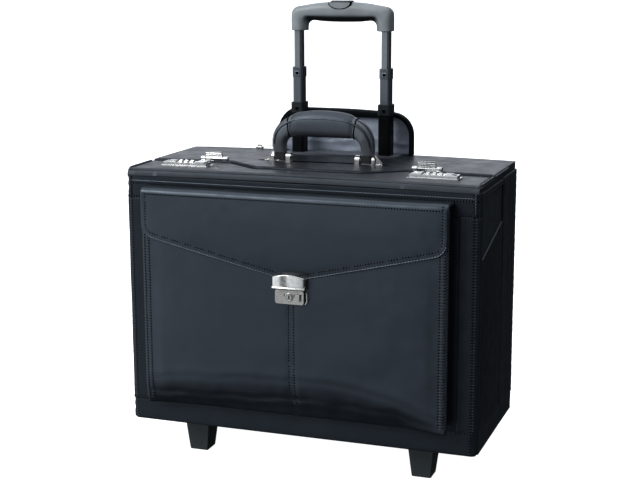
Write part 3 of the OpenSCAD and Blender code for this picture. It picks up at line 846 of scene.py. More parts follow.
def side_pocket(sign, hand):
    """The slip pocket sewn on a side, with its slanted mouth."""
    lo, hi = cad("side_pocket_" + hand)
    front, back = side_run(lo.y + 1), side_run(hi.y + 2)
    mouth = hi.z - 28
    outline = [(front, BAND_LOW - 2), (back, BAND_LOW - 2), (back, hi.z), (front, mouth)]
    if sign < 0:
        outline = [(-a, b) for a, b in outline[::-1]]

    def bulge(a, b, d):
        return 1.1 * min(1.0, d / 30) + 0.4 * ripple(a / 40, b / 60, 7.5 * sign)

    patch = Patch(outline, around, 2.0, 1.5, relief=bulge)
    patch.build("side_pocket_cover_" + hand, LEATHER_SIDE, "case", "side_pocket_" + hand)
    mouth_row = patch.row([(sign * (front + 1), mouth - 1), (sign * (back - 1), hi.z - 1)], lift=-0.6)
    corded("side_pocket_mouth_" + hand, mouth_row, "case", 1.6, 0.15)
    return [patch.row([(sign * (front + 2), mouth - drop), (sign * (back - 2), hi.z - drop)])
            for drop in (4.2, 8.0)]


# --- front pocket ---

SEAM_X = cad("key_cylinder")[0].x / 2 + cad("key_cylinder")[1].x / 2      # middle of the lock and seam


def front_pocket():
    half = POCKET_HI.x
    top, bottom = POCKET_HI.z, POCKET_LO.z
    face = -POCKET_HI.y            # how far the pocket's board stands out at its back
    outline = rounded(-half - 1, half + 1, bottom - 4.5, top, 4)

    def crease(a):
        """Height of the fold above which the pocket hangs full and below which it rolls under."""
        side = (a - 30) / (180 if a > 30 else 240)
        waver = 3 * ripple(a / 45, 2.5, 0)
        return bottom + max(5.0, 46 - (42 if a > 30 else 18) * side ** 2 + waver)

    def under(a, b):
        """How far the pocket's front is drawn back where it rolls under."""
        start = crease(a)
        t = max(0.0, min(1.0, (start - b) / (start - bottom + 4.5)))
        return 15 * t ** 1.5 * min(1.0, (start - bottom) / 30) * (1 - 0.6 * min(1.0, abs(a) / half) ** 6)

    def place(a, b, h):
        return P(a, -face - h + under(a, b), b)

    def belly(a, b, d):
        u, v = a / half, (b - bottom) / (top - bottom)
        full = 4.2 * (1 - u ** 4) * math.sin(math.pi * min(1.0, max(0.0, v)) ** 0.75)
        seam = -1.3 * hump(a - SEAM_X, 4) + 1.5 * hump(a - SEAM_X, 1.6)
        edge = 0.5 * ripple(a / 7, b / 4.5, 8) * hump(abs(a) - half + 6, 7)
        pull = 0.35 * ripple(a / 9, b / 5, 4) * hump(a - SEAM_X, 10)
        start = crease(a)
        fold = -0.5 * hump(b - start - 2, 4) + 0.5 * hump(b - start - 9, 7)
        lower = bottom + 0.45 * (start - bottom) + 4 * ripple(a / 30, 7.5, 0)
        depth = 0.7 + 0.7 * ripple(a / 60, 1.5, 2)
        fold += depth * (0.6 * hump(b - lower + 6, 4) - hump(b - lower, 3))
        soft = 0.9 * ripple(a / 70, b / 45, 3) + 0.2 * ripple(a / 17, b / 17, 5)
        return (full * min(1.0, d / 26) + (seam + edge + pull) * min(1.0, d / 3)
                + (soft + fold) * min(1.0, d / 12))

    patch = Patch(outline, place, 3.4, 3.0, relief=belly)
    patch.build("pocket_cover", LEATHER_SOFT, "case", "pocket_front", step=4.2)
    rows = []
    for hand, sign in hands():
        for x in (half - 3.4, half - 9.6):
            rows.append(patch.upright(sign * x, bottom + 3, top - 2, 0.1))
        seam = patch.upright(sign * (half - 0.6), bottom + 2, top - 2, -1.2)
        corded("pocket_seam_" + hand, seam, "case", 1.5, 0.3)
        drawn = patch.upright(sign * (half - 6.8), bottom + 3, top - 2, -0.35)
        ribs("pocket_seam_folds_" + hand, [drawn], "case", 5.0 if sign > 0 else 3.0)
    for x in (SEAM_X - 3.4, SEAM_X + 3.6):
        rows.append(patch.upright(x, bottom + 4, bottom + 156, 0.1))
    stitches("pocket_stitches", rows, "case")

    # gusset: a strip round the sides and bottom, folded inwards along its middle
    path = ([(half - 1.5, top)] + arc(half - 7.5, bottom + 7, 6, 0, -90, 5)
            + arc(-half + 7.5, bottom + 7, 6, -90, -180, 5) + [(-half + 1.5, top)])
    path = resampled(path, 6, closed=False)
    folds = [(0, 0), (0.2, 2.4), (0.42, 4.6), (0.62, 4.4), (0.82, 1.8), (1, 0)]
    profile = folds + [(t, fold + 1.4) for t, fold in folds[::-1]]
    verts = []
    for i, p in enumerate(path):
        ahead = (path[min(i + 1, len(path) - 1)] - path[max(i - 1, 0)]).normalized()
        inward = Vector((ahead.y, -ahead.x))
        for t, fold in profile:
            q = p + inward * fold
            verts.append(P(q.x, t * (POCKET_HI.y + under(q.x, q.y)) - 0.1, q.y))
    gusset = Shape().add(verts, bridged(len(path), len(profile)))
    gusset.make("pocket_gusset_cover", LEATHER_SHADED, "case", "pocket_gusset")


FLAP_FACE = FLAP_LO.y          # the flap's front face
FLAP_ROLL, FLAP_THICK = 7, 3.2
FLAP_SIDE_Z = 255              # where the flap's lower edge meets its sides


def flap_outline():
    half, tip_z, r = FLAP_HI.x, FLAP_LO.z, 21
    top = FLAP_HI.z - FLAP_ROLL + math.pi * FLAP_ROLL / 2 + (-FLAP_FACE - FLAP_ROLL - 1.0)
    right = arc(half - r, FLAP_SIDE_Z + r, r, -78, 0, 7) + [(half, top)]
    left = [(-x, z) for x, z in right[::-1]]
    return left + [(SEAM_X - 3, tip_z), (SEAM_X + 3, tip_z)] + right


def flap_place(a, b, h):
    """Up the pocket's front, over a round edge, and back to the hinge line."""
    edge = FLAP_HI.z - FLAP_ROLL
    inner, small = FLAP_FACE + FLAP_THICK, FLAP_ROLL - FLAP_THICK
    if b <= edge:
        drop = min(1.0, (edge - b) / (edge - FLAP_LO.z))
        lean = 3.4 * (1 - (a / FLAP_HI.x) ** 4) * math.sin(drop * math.pi)
        return P(a, inner - h - lean, b)
    t = (b - edge) / FLAP_ROLL
    if t <= math.pi / 2:
        r = small + h
        return P(a, inner + small - r * math.cos(t), edge + r * math.sin(t))
    run = b - edge - math.pi * FLAP_ROLL / 2
    return P(a, inner + small + run, edge + small + h)


def open_run(points, below):
    """The part of a closed line under a height, in one run from its left end."""
    start = next(i for i, p in enumerate(points) if p.x < 0 and p.y < below)
    turned = [points[(start + i) % len(points)] for i in range(len(points))]
    return [p for p in turned if p.y < below]


def pocket_flap():
    outline = clean(flap_outline())

    def relief(a, b, d):
        soft = 0.8 * ripple(a / 80, b / 40, 12) + 0.2 * ripple(a / 16, b / 16, 15)
        groove = -0.5 * hump(d - 7.5, 1.5)
        drawn = 0.45 * ripple(a / 5, b / 5, 2) * hump(d - 6, 5)
        return (soft + drawn) * min(1.0, d / 10) + groove

    patch = Patch(outline, flap_place, 3.0, 2.6, relief=relief)
    piece = patch.build("flap_cover", LEATHER_SOFT, None, "pocket_flap", step=4.2)
    hinge = FLAP_HI.z
    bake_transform(piece)

    def inside_edge(distance, below, step=4):
        """The outline's lower run, that distance in from the edge."""
        return open_run(inset(resampled(outline, step), distance), below)

    row = patch.row(inside_edge(7.5, hinge - 4, 6), lift=0.1)
    top_line = hinge - FLAP_ROLL - 1
    along_top = patch.row([(-FLAP_HI.x + 8, top_line), (FLAP_HI.x - 8, top_line)], lift=0.1)
    stitches("flap_stitches", [row, along_top], "pocket_flap")
    side = [p for p in inside_edge(5.0, hinge - 6) if p.x > FLAP_HI.x - 8]
    ribs("flap_folds", [patch.row(side, lift=-0.35)], "pocket_flap", 3.4)
    corded("flap_binding", patch.row(inside_edge(1.8, FLAP_SIDE_Z + 18), lift=-1.2), "pocket_flap", 1.9, 0.12)


# --- lids ---

LID_ROLL = 7
TONGUE = (72, 38, 121)    # half width at the front, depth of the front edge, half width at the root
SPLIT_GAP = 1.8


def split_points(reach, offset):
    """The line where the lids meet, from one reach to the other, moved back by the offset."""
    half, y, root = TONGUE
    turns = [(-reach, SPLIT_Y), (-root, SPLIT_Y), (-half, y), (half, y), (root, SPLIT_Y), (reach, SPLIT_Y)]
    return [(a, b + offset) for a, b in turns]


def top_place(level):
    def place(a, b, h):
        return P(a, b, level + rise(a) + h)
    return place


def lid_top(a, b, h):
    """The front lid's top, then over its front roll and down the front."""
    edge = FRONT_TOP + rise(a)
    if b >= LID_ROLL:
        return P(a, b, edge + h)
    t = (LID_ROLL - b) / LID_ROLL
    if t <= math.pi / 2:
        r = LID_ROLL + h
        return P(a, LID_ROLL - r * math.sin(t) - 1.6 * min(1, t), edge - LID_ROLL + r * math.cos(t))
    run = LID_ROLL - b - LID_ROLL * math.pi / 2
    return P(a, -h - 1.6, edge - LID_ROLL - run)


def slot_outline():
    """The slot in the rear lid that the handle's brackets stand in, pointed at its ends."""
    lo, hi = cad("handle_brackets")
    y = (lo.y + hi.y) / 2
    return [(-92, y - 1), (-80, y - 6), (80, y - 6), (92, y - 1), (92, y + 1), (80, y + 5.5), (-80, y + 5.5),
            (-92, y + 1)]


def lids():
    inner = HALF_W - 0.4
    restate("front_lid", LEATHER, "front_lid", 1.0)
    restate("rear_lid", LEATHER, "rear_lid", 1.0)
    front_end = LID_ROLL - LID_ROLL * math.pi / 2 - 1.5
    outline = [(-inner, front_end), (inner, front_end)] + split_points(inner, -0.4)[::-1]
    cover = Patch(outline, lid_top, 1.3, 1.3, relief=undulation(0.6, 0.16, 21))
    piece = cover.build("front_lid_cover", LEATHER_LID, None, step=4.5)
    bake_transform(piece)
    rows = [cover.row(split_points(inner - 3, -4))]
    for sign in (-1, 1):
        rows.append(cover.upright(sign * (inner - 3.5), 12, SPLIT_Y - 5))
    stitches("front_lid_stitches", rows, "front_lid")

    rear = DECK_LO.y + 1.6
    outline = [(-inner, rear)] + split_points(inner, SPLIT_GAP) + [(inner, rear)]
    cover = Patch(outline, top_place(REAR_TOP), 1.3, 1.6, holes=[slot_outline()[::-1]],
                  relief=undulation(0.55, 0.16, 27))
    piece = cover.build("rear_lid_cover", LEATHER_TOP, None, step=5)
    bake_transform(piece)
    stitches("rear_lid_stitches", [cover.row(split_points(inner - 3, SPLIT_GAP + 3.5))], "rear_lid")
    # the slot's near-black floor is painted shade down in the slot
    slot = [(a * 1.02, b) for a, b in slot_outline()]
    Shape().prism(slot, 0.0, 0.95, top_place(REAR_TOP), 0.1, 1).make("bracket_slot_shade", DARK, "rear_lid")
    for name, level, start, end in (("front", FRONT_TOP, LID_LO.y + 2, SPLIT_Y - 2),
                                    ("rear", REAR_TOP, SPLIT_Y + SPLIT_GAP + 2, REAR_HI.y - 2)):
        for hand, sign in hands():
            side = sign * (HALF_W + 0.3)
            rim = line([(side, start, level - 1.2), (side, end, level - 1.2)], (sign, 0, 0))
            corded(f"{name}_lid_rim_{hand}", rim, name + "_lid", 1.6, 0.12)
    for hand, sign in hands():
        bend = [(5.5, 0.2, -3.5), (4, 1.4, -0.5), (1.5, 5, 1), (0.4, 10, 1.2), (0, SPLIT_Y - 4, 1.2)]
        bend = [(sign * (HALF_W - x), y, FRONT_TOP + z) for x, y, z in bend]
        corded("lid_corner_roll_" + hand, line(bend, (sign, 0, 0.4)), "front_lid", 2.0, 0.16)
        x = sign * (HALF_W - 4.5)
        drop = line([(x, -1.6, WALL_Z), (x, -2.2, BAND_HIGH + 2)], (0, -1, 0))
        corded("corner_roll_" + hand, drop, "case", 1.5, 0.25)

    deck = rectangle(-inner, inner, rear + 0.6, DECK_HI.y - 0.6)
    lo, hi = cad("trolley_bezel")
    hole = rectangle(lo.x + 1, hi.x - 1, rear + 2, hi.y - 1)[::-1]
    cover = Patch(deck, top_place(REAR_TOP), 1.0, 1.4, holes=[hole], relief=undulation(0.3, 0.1, 29))
    cover.build("deck_cover", LEATHER_TOP, "case", step=6)
    restate("zip_tape", TAPE, "case", 0.2)
    lo, hi = cad("zip_tape")
    middle = (lo.y + hi.y) / 2
    for side, y in (("front", middle - 0.8), ("back", middle + 0.8)):
        row = [(P(x, y, REAR_TOP + rise(x) + 1.35), Vector((0, 0, 1)))
               for x in range(int(lo.x) + 2, int(hi.x) - 1)]
        stitches("zip_teeth_" + side, [row], "case", 1.6, 1.3, 0.45, STEEL, 90, hole=0)


# --- carry handle ---

HANDLE_SECTION = [(-1, -0.5), (-0.76, -0.9), (-0.4, -1.03), (0.36, -1), (0.8, -0.72), (1, -0.3), (1, 0.3),
                  (0.8, 0.72), (0.36, 1), (-0.4, 1.03), (-0.76, 0.9), (-1, 0.5), (-1.02, 0)]


def carry_handle():
    lo, hi = cad("handle_strap")
    y, out, top = (lo.y + hi.y) / 2, hi.x, cad("handle_pad")[1].z
    pivot = lo.z + 5
    inner, under = out - 18.5, top - 34
    right = [((out - narrow, pivot + up), (inner, pivot + up), deep)
             for narrow, up, deep in ((2.5, 5, 5.4), (1.5, 5.6, 5.8), (0, 11, 7.0))]
    for i in range(8):
        angle = math.radians(68 * i / 7)
        c, s = math.cos(angle), math.sin(angle)
        right.append(((out - 38 + 38 * c, top - 44 + 38 * s), (inner - 13 + 13 * c, under - 13 + 13 * s),
                      8.6 + 3.2 * min(1.0, i / 3)))
    arm = len(right)
    for x in (38, 28, 18, 8):
        right.append(((x, top - 190 + math.sqrt(190 ** 2 - x * x)), (x * 0.97, under + 0.3), 12))
    pairs = both_ways(right)
    strap = railed(pairs, HANDLE_SECTION, y)
    strap = strap.make("handle_cover", LEATHER_STRAP, "carry_handle", "handle_strap")
    softened(strap)
    # padded sleeve round the middle
    middle = pairs[arm - 1:len(pairs) - arm + 1]
    sleeve = []
    for i, ((xo, zo), (xi, zi), deep) in enumerate(middle):
        grow = 0.2 if i in (0, len(middle) - 1) else 0.9
        sleeve.append(((xo, zo + grow), (xi, zi - grow * 0.7), deep + grow))
    pad = railed(sleeve, HANDLE_SECTION, y)
    pad = pad.make("handle_pad_cover", LEATHER_HANDLE, "carry_handle", "handle_pad")
    softened(pad)
    rows = []
    for hand, end, shift in (("right", sleeve[:2], 0.35), ("left", sleeve[-2:], 0.65)):
        (xo, zo), (xi, zi), deep = end[0] if hand == "right" else end[1]
        loop = []
        for u, v in HANDLE_SECTION:
            t = (u * 0.985 + 1) / 2
            loop.append(P(xi + (xo - xi) * t, y + v * deep * 0.985, zi + (zo - zi) * t))
        # a near-black ring round the pad's end: painted shade in the seam's crease
        Shape().tube(loop, lambda share: 0.8, 8, closed=True).make("pad_seam_" + hand, DARK, "carry_handle")
        across = [rail_row(end, u, -1.0, y, 0.3) for u in (-0.85, -0.4, 0.0, 0.35)]
        rows.append([(a[0][0].lerp(a[1][0], shift), a[0][1]) for a in across])
    ridge = rail_row(smoothed(pairs[3:-3]), 0.46, -0.93, y, 0.2)
    corded("handle_piping", ridge, "carry_handle", 1.25, 0.12)
    for part, u, v in ((pairs[2:arm], 0.62, -0.86), (pairs[2:arm], 0.95, -0.4), (pairs[-arm:-2], 0.95, -0.4)):
        rows.append(rail_row(smoothed(part), u, v, y, 0.25))
    stitches("handle_stitches", rows, "carry_handle", 3.0, 1.5, 0.45, hole=0.7)
    # ribbed tips on the pins
    for hand, sign in hands():
        def slab(margin, half, r, sign=sign):
            outline = rounded(inner - 0.5 + margin, out - 4.5 - margin, y - half, y + half, r, 3)
            return [(sign * a, b) for a, b in outline][::sign]

        tip = Shape()
        for i in range(5):
            z = pivot - 3.6 + 2.3 * i
            tip.prism(slab(0, 5.0 - 0.5 * abs(i - 1.5), 2.2), z - 1.0, z + 1.0, P, 0.6, 2)
        tip.prism(slab(0.8, 3.8, 1.5), pivot - 4, pivot + 8, P, 0.4, 1)
        tip.make("handle_tip_" + hand, HOUSING, "carry_handle", even=True)


def smoothed(pairs, parts=6):
    """Rail pairs with in-between ones, so that a row along them has close points."""
    out = []
    for (o1, i1, d1), (o2, i2, d2) in zip(pairs, pairs[1:]):
        for t in (k / parts for k in range(parts)):
            out.append((Vector(o1).lerp(Vector(o2), t), Vector(i1).lerp(Vector(i2), t), d1 + (d2 - d1) * t))
    return out + [pairs[-1]]


# --- metalwork ---

def knob(shape, centre, axis, radius, length):
    """A small turned knob with a domed end."""
    turned = ((0, 0), (0, 0.8), (0.15, 1), (0.6, 1), (0.85, 0.8), (1, 0.4), (1, 0))
    shape.lathe([(along * length, out * radius) for along, out in turned], centre, axis, 24)


def combination_locks():
    restate("combo_lock_bodies", CHROME, "front_lid", 0.45)
    for hand, _ in hands():
        restate("lock_slider_" + hand, CHROME, "lock_slider_" + hand, 0.25)
        for i in (1, 2, 3):
            node = f"dial_{hand}_{i}"
            lo, hi = cad(node)
            middle = (lo + hi) / 2
            r, half, teeth = (hi.z - lo.z) / 2, (hi.x - lo.x) / 2, 20
            outline = []
            for k in range(teeth):
                for turn, radius in ((-0.32, r - 0.35), (-0.16, r), (0.16, r), (0.32, r - 0.35)):
                    angle = 2 * math.pi * (k + turn) / teeth
                    outline.append((radius * math.cos(angle), radius * math.sin(angle)))

            def place(a, b, h, middle=middle):
                return P(middle.x + h, middle.y + a, middle.z + b)
            wheel = Shape().prism(outline, -half, half, place, 0.25, 1)
            wheel.make(node + "_wheel", CHROME, node, node, even=True)
    restate("hasp_bases", CHROME, "rear_lid", 0.5)
    knobs = Shape()
    for hand, sign in hands():
        node = "hasp_" + hand
        lo, hi = cad(node)
        x, y, bar = (lo.x + hi.x) / 2, hi.y - 2, lo.z + 2         # middle of the hasp's hinge line
        lean = math.radians(15)
        form = from_cad(node, 0.5)
        for up, radius in ((3.0, 0.6), (5.3, 0.6), (7.6, 0.8)):
            place = [P(x + dx, y - math.sin(lean) * up - 0.9, bar + math.cos(lean) * up - 0.2)
                     for dx in (-11.5, -6, 0, 6, 11.5)]
            form.tube(place, lambda share, radius=radius: radius, 10)
        form.make(node + "_form", CHROME, node, node, even=True)
        for end in (sign, -sign):
            knob(knobs, P(x + end * 17, y, bar), (end, 0, 0), 3.2, 3.4)
        for dx in (-13, 13):
            knob(knobs, P(x + dx, y + 6, REAR_TOP + rise(x) + 1.0), (0, 0, 1), 1.5, 0.9)
    knobs.make("hasp_knobs", CHROME, "rear_lid")


def brackets():
    restate("handle_brackets", NICKEL, "rear_lid", 0.6, 3)
    lo, hi = cad("handle_brackets")
    y = (lo.y + hi.y) / 2
    pin_z = cad("handle_strap")[0].z + 5
    heads = Shape()
    for sign in (-1, 1):
        knob(heads, P(sign * 45, y, pin_z), (-sign, 0, 0), 2.9, 1.4)
        knob(heads, P(sign * 71, y - 2.6, pin_z), (sign, 0, 0), 2.9, 1.4)
        knob(heads, P(sign * 78, y - 3.2, REAR_TOP + CROWN + 1.4), (0, 0, 1), 1.6, 0.9)
    heads.make("bracket_heads", NICKEL, "rear_lid")


def pocket_lock():
    lo, hi = cad("flap_lock_plate")
    half = (hi.x - lo.x) / 2
    restate("flap_lock_plate", NICKEL_SATIN, "pocket_flap", 0.9, 3)
    restate("pocket_lock_body", NICKEL_SATIN, "case", 0.8, 3)
    restate("lock_latch", NICKEL_SATIN, "lock_latch", 0.4)
    restate("key_cylinder", NICKEL_SATIN, "key_cylinder", 0.3)

    def domed(a, b, h):
        return P(SEAM_X + a, lo.y + 0.5 - 1.5 * (1 - (a / half) ** 2) - h, b)

    foot = lo.z + 3.6
    wide = half - 0.3
    arch = [wide * (1 - i / 6) for i in range(13)]
    outline = [(a, hi.z + 1.2 - 3.6 * (a / half) ** 2) for a in arch] + [(-wide, foot), (wide, foot)]
    Patch(outline, domed, 0.9, 0.9).build("lock_plate_dome", NICKEL, "pocket_flap", step=2.2)
    bead = [domed(half * t, foot - 1.4, 0) for t in (-0.99, -0.66, -0.33, 0, 0.33, 0.66, 0.99)]
    Shape().tube(bead, lambda share: 2.0, 16).make("lock_plate_bead", NICKEL, "pocket_flap")

    key_lo, key_hi = cad("key_cylinder")
    centre = (key_lo + key_hi) / 2
    lo, hi = cad("pocket_lock_body")
    face = lo.y
    ring = [(0, key_hi.x - centre.x + 0.3), (0.0, 5.4), (0.5, 5.4), (0.8, 4.9), (0.8, 4.5), (0.35, 3.95)]
    ring = Shape().lathe(ring, P(centre.x, face, centre.z), (0, -1, 0), 36)
    ring.make("keyhole_ring", NICKEL_SATIN, "case")

    def inlay(name, body, limits, r, thick, front):
        """A dark shape laid on the lock, its limits measured from the keyhole's middle."""
        inlaid = Shape().prism(rounded(*limits, r, 3), 0, thick,
                               lambda a, b, h: P(centre.x + a, front - h, centre.z + b), 0.1, 1)
        inlaid.make(name, DARK, body)

    # the keyhole is a near-black inlay: painted shade for the hole's depth; the ticks beside it are dark
    # marks
    inlay("keyhole", "key_cylinder", (-0.55, 0.55, -2.6, 2.0), 0.5, 0.3, key_lo.y - 0.05)
    for hand, sign in hands():
        x = sign * 6.6
        inlay("lock_tick_" + hand, "case", (x - 0.45, x + 0.45, 0.5, 4.2), 0.4, 0.25, face)
    width = 17.0
    low = [(-width, lo.z + 5), (4 - width, lo.z + 3), (0, lo.z + 2), (width - 4, lo.z + 3), (width, lo.z + 5)]
    border = arc(width - 3, hi.z - 5, 2.4, 0, 90, 3) + arc(3 - width, hi.z - 5, 2.4, 90, 180, 3) + low
    row = [(P(SEAM_X + a, face - 0.05, b), Vector((0, -1, 0))) for a, b in resampled(border, 0.5)]
    stitches("lock_beading", [row + row[:1]], "case", 1.3, 0.85, 0.36, NICKEL, hole=0)
    side = [(0.4, 1.2, hi.z - 2), (1.6, 1.4, hi.z - 5), (1.6, 1.4, lo.z + 4), (-0.6, 1.2, lo.z + 0.8)]
    side = line([(SEAM_X + half + x, face + y, z) for x, y, z in side], (1, 0, 0), 1.0)
    Shape().tube([place for place, _ in side], lambda share: 0.7, 8).make("lock_side_frame", NICKEL, "case")


def rivets():
    shape = Shape()
    wheel_x = cad("wheel_axles")[1].x - 16
    for sign in (-1, 1):
        for z in (48, 300):
            knob(shape, P(sign * TUBE_X, BACK_Y, z), (0, 1, 0), 4, 1.5)
        for dx in (-19, 19):
            knob(shape, P(sign * wheel_x + dx, BACK_Y + 2.5, 17), (0, 1, 0), 2.2, 1.5)
    shape.make("rivet_heads", NICKEL, "case", "rivets")


# --- trolley ---

def trolley():
    restate("trolley_sleeves", TUBE_SHADED, "case", 0.3)
    restate("trolley_base_bracket", HOUSING, "case", 0.8)
    restate("trolley_bezel", BEZEL, "case", 1.0, 3)
    restate("release_rods", STEEL, "grip_button", 0.3)
    # stage 1 takes the near-black tube material: painted shade under the hood
    for stage, material in ((1, TUBE_SHADED), (2, TUBE_MIDDLE), (3, TUBE)):
        restate(f"stage{stage}_tubes", material, f"stage{stage}", 0.35)
    for stage, material in ((1, COLLAR), (2, TUBE_MIDDLE)):
        node = f"stage{stage}_collars"
        restate(node, material, f"stage{stage}", 0.4)
        lo, hi = cad(node)
        insets = Shape()
        for sign in (-1, 1):
            x = sign * TUBE_X
            outline = rounded(x - 2.2, x + 2.2, hi.z - 10.2, hi.z - 6.4, 1.0, 3)
            insets.prism(outline, 0, 0.5, lambda a, b, h: P(a, lo.y - 0.1 - h, b), 0.15, 1)
        insets.make(f"stage{stage}_windows", DARK, f"stage{stage}")
    grip()


GRIP_SECTION = [(-1, -0.1), (-0.88, -0.36), (-0.66, -0.66), (-0.42, -0.92), (-0.1, -1.02), (0.4, -1.02),
                (0.78, -0.9), (0.97, -0.5), (1, 0), (0.97, 0.5), (0.78, 0.9), (0.4, 1.02), (-0.1, 1.02),
                (-0.42, 0.92), (-0.66, 0.66), (-0.88, 0.36), (-1, 0.1), (-1.02, 0)]


def grip():
    lo, hi = cad("grip")
    y, deep = (lo.y + hi.y) / 2, (hi.y - lo.y) / 2
    out, low, top = hi.x, lo.z, lo.z + 39
    leg = out - 23       # inner side of each leg
    right = [((out - 0.4, low), (leg + 0.4, low), deep - 0.4), ((out, low + 0.5), (leg, low + 0.5), deep),
             ((out, low + 5), (leg, low + 4), deep)]         # each leg's foot, then its corner and the bar
    for i in range(6):
        o, n = math.radians(78 * i / 5), math.radians(90 * i / 5)
        right.append(((out - 11 + 11 * math.cos(o), top - 17 + 11 * math.sin(o)),
                      (leg - 8 + 8 * math.cos(n), low + 6 + 8 * math.sin(n)), deep))
    right += [((48, top - 4.0), (33, low + 13.2), deep), ((36, top - 1.7), (27, low + 12.5), deep),
              ((18, top - 0.4), (14, low + 12.1), deep), ((0, top), (0, low + 12), deep)]
    softened(railed(both_ways(right), GRIP_SECTION, y).make("grip_form", GRIP, "stage3", "grip"))
    cap = cad("grip_button")[1]
    # a near-black well round the button cap: painted shade in the gap round it
    well = rounded(-cap.x - 1.6, cap.x + 1.6, y - 8.6, y + 8.6, 8.4, 8)
    Shape().prism(well, top - 1.5, top + 0.25, P, 0.4, 2).make("button_well", DARK, "stage3", even=True)
    button = Shape().prism(rounded(-cap.x, cap.x, y - 7, y + 7, 6.9, 8), top - 1, cap.z, P, 0.9, 4)
    button.make("button_cap", GRIP, "grip_button", "grip_button", even=True)
    # scoop in front of the button: a groove painted near-black as shade, round a raised tongue
    for name, wide, drop, out_by, material in (("groove", 16.4, 9.6, 0.15, DARK),
                                               ("tongue", 14.9, 8.2, 0.9, GRIP)):
        outline = [(a * wide, top - 0.8 + b * drop) for a, b in arc(0, 0, 1, 180, 360, 16)]
        scoop = Shape().prism(outline, -4, out_by, lambda a, b, h: P(a, lo.y - h, b), min(0.7, out_by), 2)
        scoop.make("button_" + name, material, "stage3", even=True)


# --- hood ---

HOOD_SECTION = [(-1, -0.8), (-0.7, -1), (0.1, -1.03), (0.75, -0.92), (1, -0.6), (1, 0.6), (0.75, 0.95),
                (-0.7, 1), (-1, 0.8)]


def sag(x):
    """Extra height of the hood's soft rim, which stands higher towards its left."""
    t = max(0.0, min(1.0, x / 85))
    return 4.0 - 3.0 * t * t * (3 - 2 * t)


def hood():
    lo, hi = cad("hood_shell")
    middle, half, y, deep = (lo.x + hi.x) / 2, (hi.x - lo.x) / 2, (lo.y + hi.y) / 2, (hi.y - lo.y) / 2
    base, top, back = lo.z, hi.z, hi.y
    r, wide = 30, 6.0               # corner radius, and width of the padded rim
    right = [((half, base + up), (half - wide, base + up), d)
             for up, d in ((0.2, deep - 0.5), (1, deep), (12, deep))]
    corner_x, corner_z = half - r, top - r
    right += [(o, n, deep) for o, n in zip(arc(corner_x, corner_z, r, 0, 90, 8),
                                           arc(corner_x, corner_z, r - wide, 0, 90, 8))]
    right += [((x, top), (x, top - wide - 2), deep) for x in (45, 22, 0)]
    pairs = [((xo + middle, zo + sag(xo) * max(0.0, (zo - base) / (top - base)) ** 2), (xi + middle, zi), d)
             for (xo, zo), (xi, zi), d in both_ways(right)]
    softened(railed(pairs, HOOD_SECTION, y).make("hood_rim", LEATHER_SHADED, "hood", "hood_shell"))
    seam = rail_row(smoothed(pairs[1:-1]), 0.55, -1.0, y, 0.1)
    corded("hood_rim_seam", seam, "hood", 0.8, 0.2, LEATHER_SHADED)

    def outline(edge, foot):
        """The hood's shape seen from the front, that far inside its edge."""
        points = ([(-half + edge, foot), (half - edge, foot)] + arc(corner_x, corner_z, r - edge, 0, 90, 8)
                  + arc(-corner_x, corner_z, r - edge, 90, 180, 8))
        return [(a + middle, b) for a, b in points]

    shell = Patch(outline(1.5, base + 0.3), lambda a, b, h: P(a, back - 2.3 + h, b), 2.6, 2.0,
                  relief=undulation(0.4, 0.15, 41))
    shell.build("hood_back", LEATHER, "hood", step=6)

    def folds(a, b, d):
        soft = 2.0 * ripple(a / 26 + b / 30, b / 8.5, 3)
        fine = 0.5 * ripple(a / 9 - b / 20, b / 5, 6)
        swag = 1.3 * hump(b - base - 17 - 3 * math.sin(a / 21), 2.2)
        return (soft + fine + swag) * min(1.0, d / 5)

    cloth = Patch(outline(wide - 1.2, base + 0.5), lambda a, b, h: P(a, back - 2.6 - h, b), 1.6, 1.6,
                  relief=folds)
    piece = cloth.build("hood_lining_cloth", LINING, "hood", "hood_lining", step=3)
    strip = Patch(rectangle(lo.x + 4, hi.x - 4, WALL_Z - 6, base + 9),
                  lambda a, b, h: P(a, BACK_Y + 0.1 + h, b), 1.0, 1.0)
    piece = strip.build("hood_hinge_strip", LEATHER, None, step=3)
    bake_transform(piece)


# --- feet and wheels ---

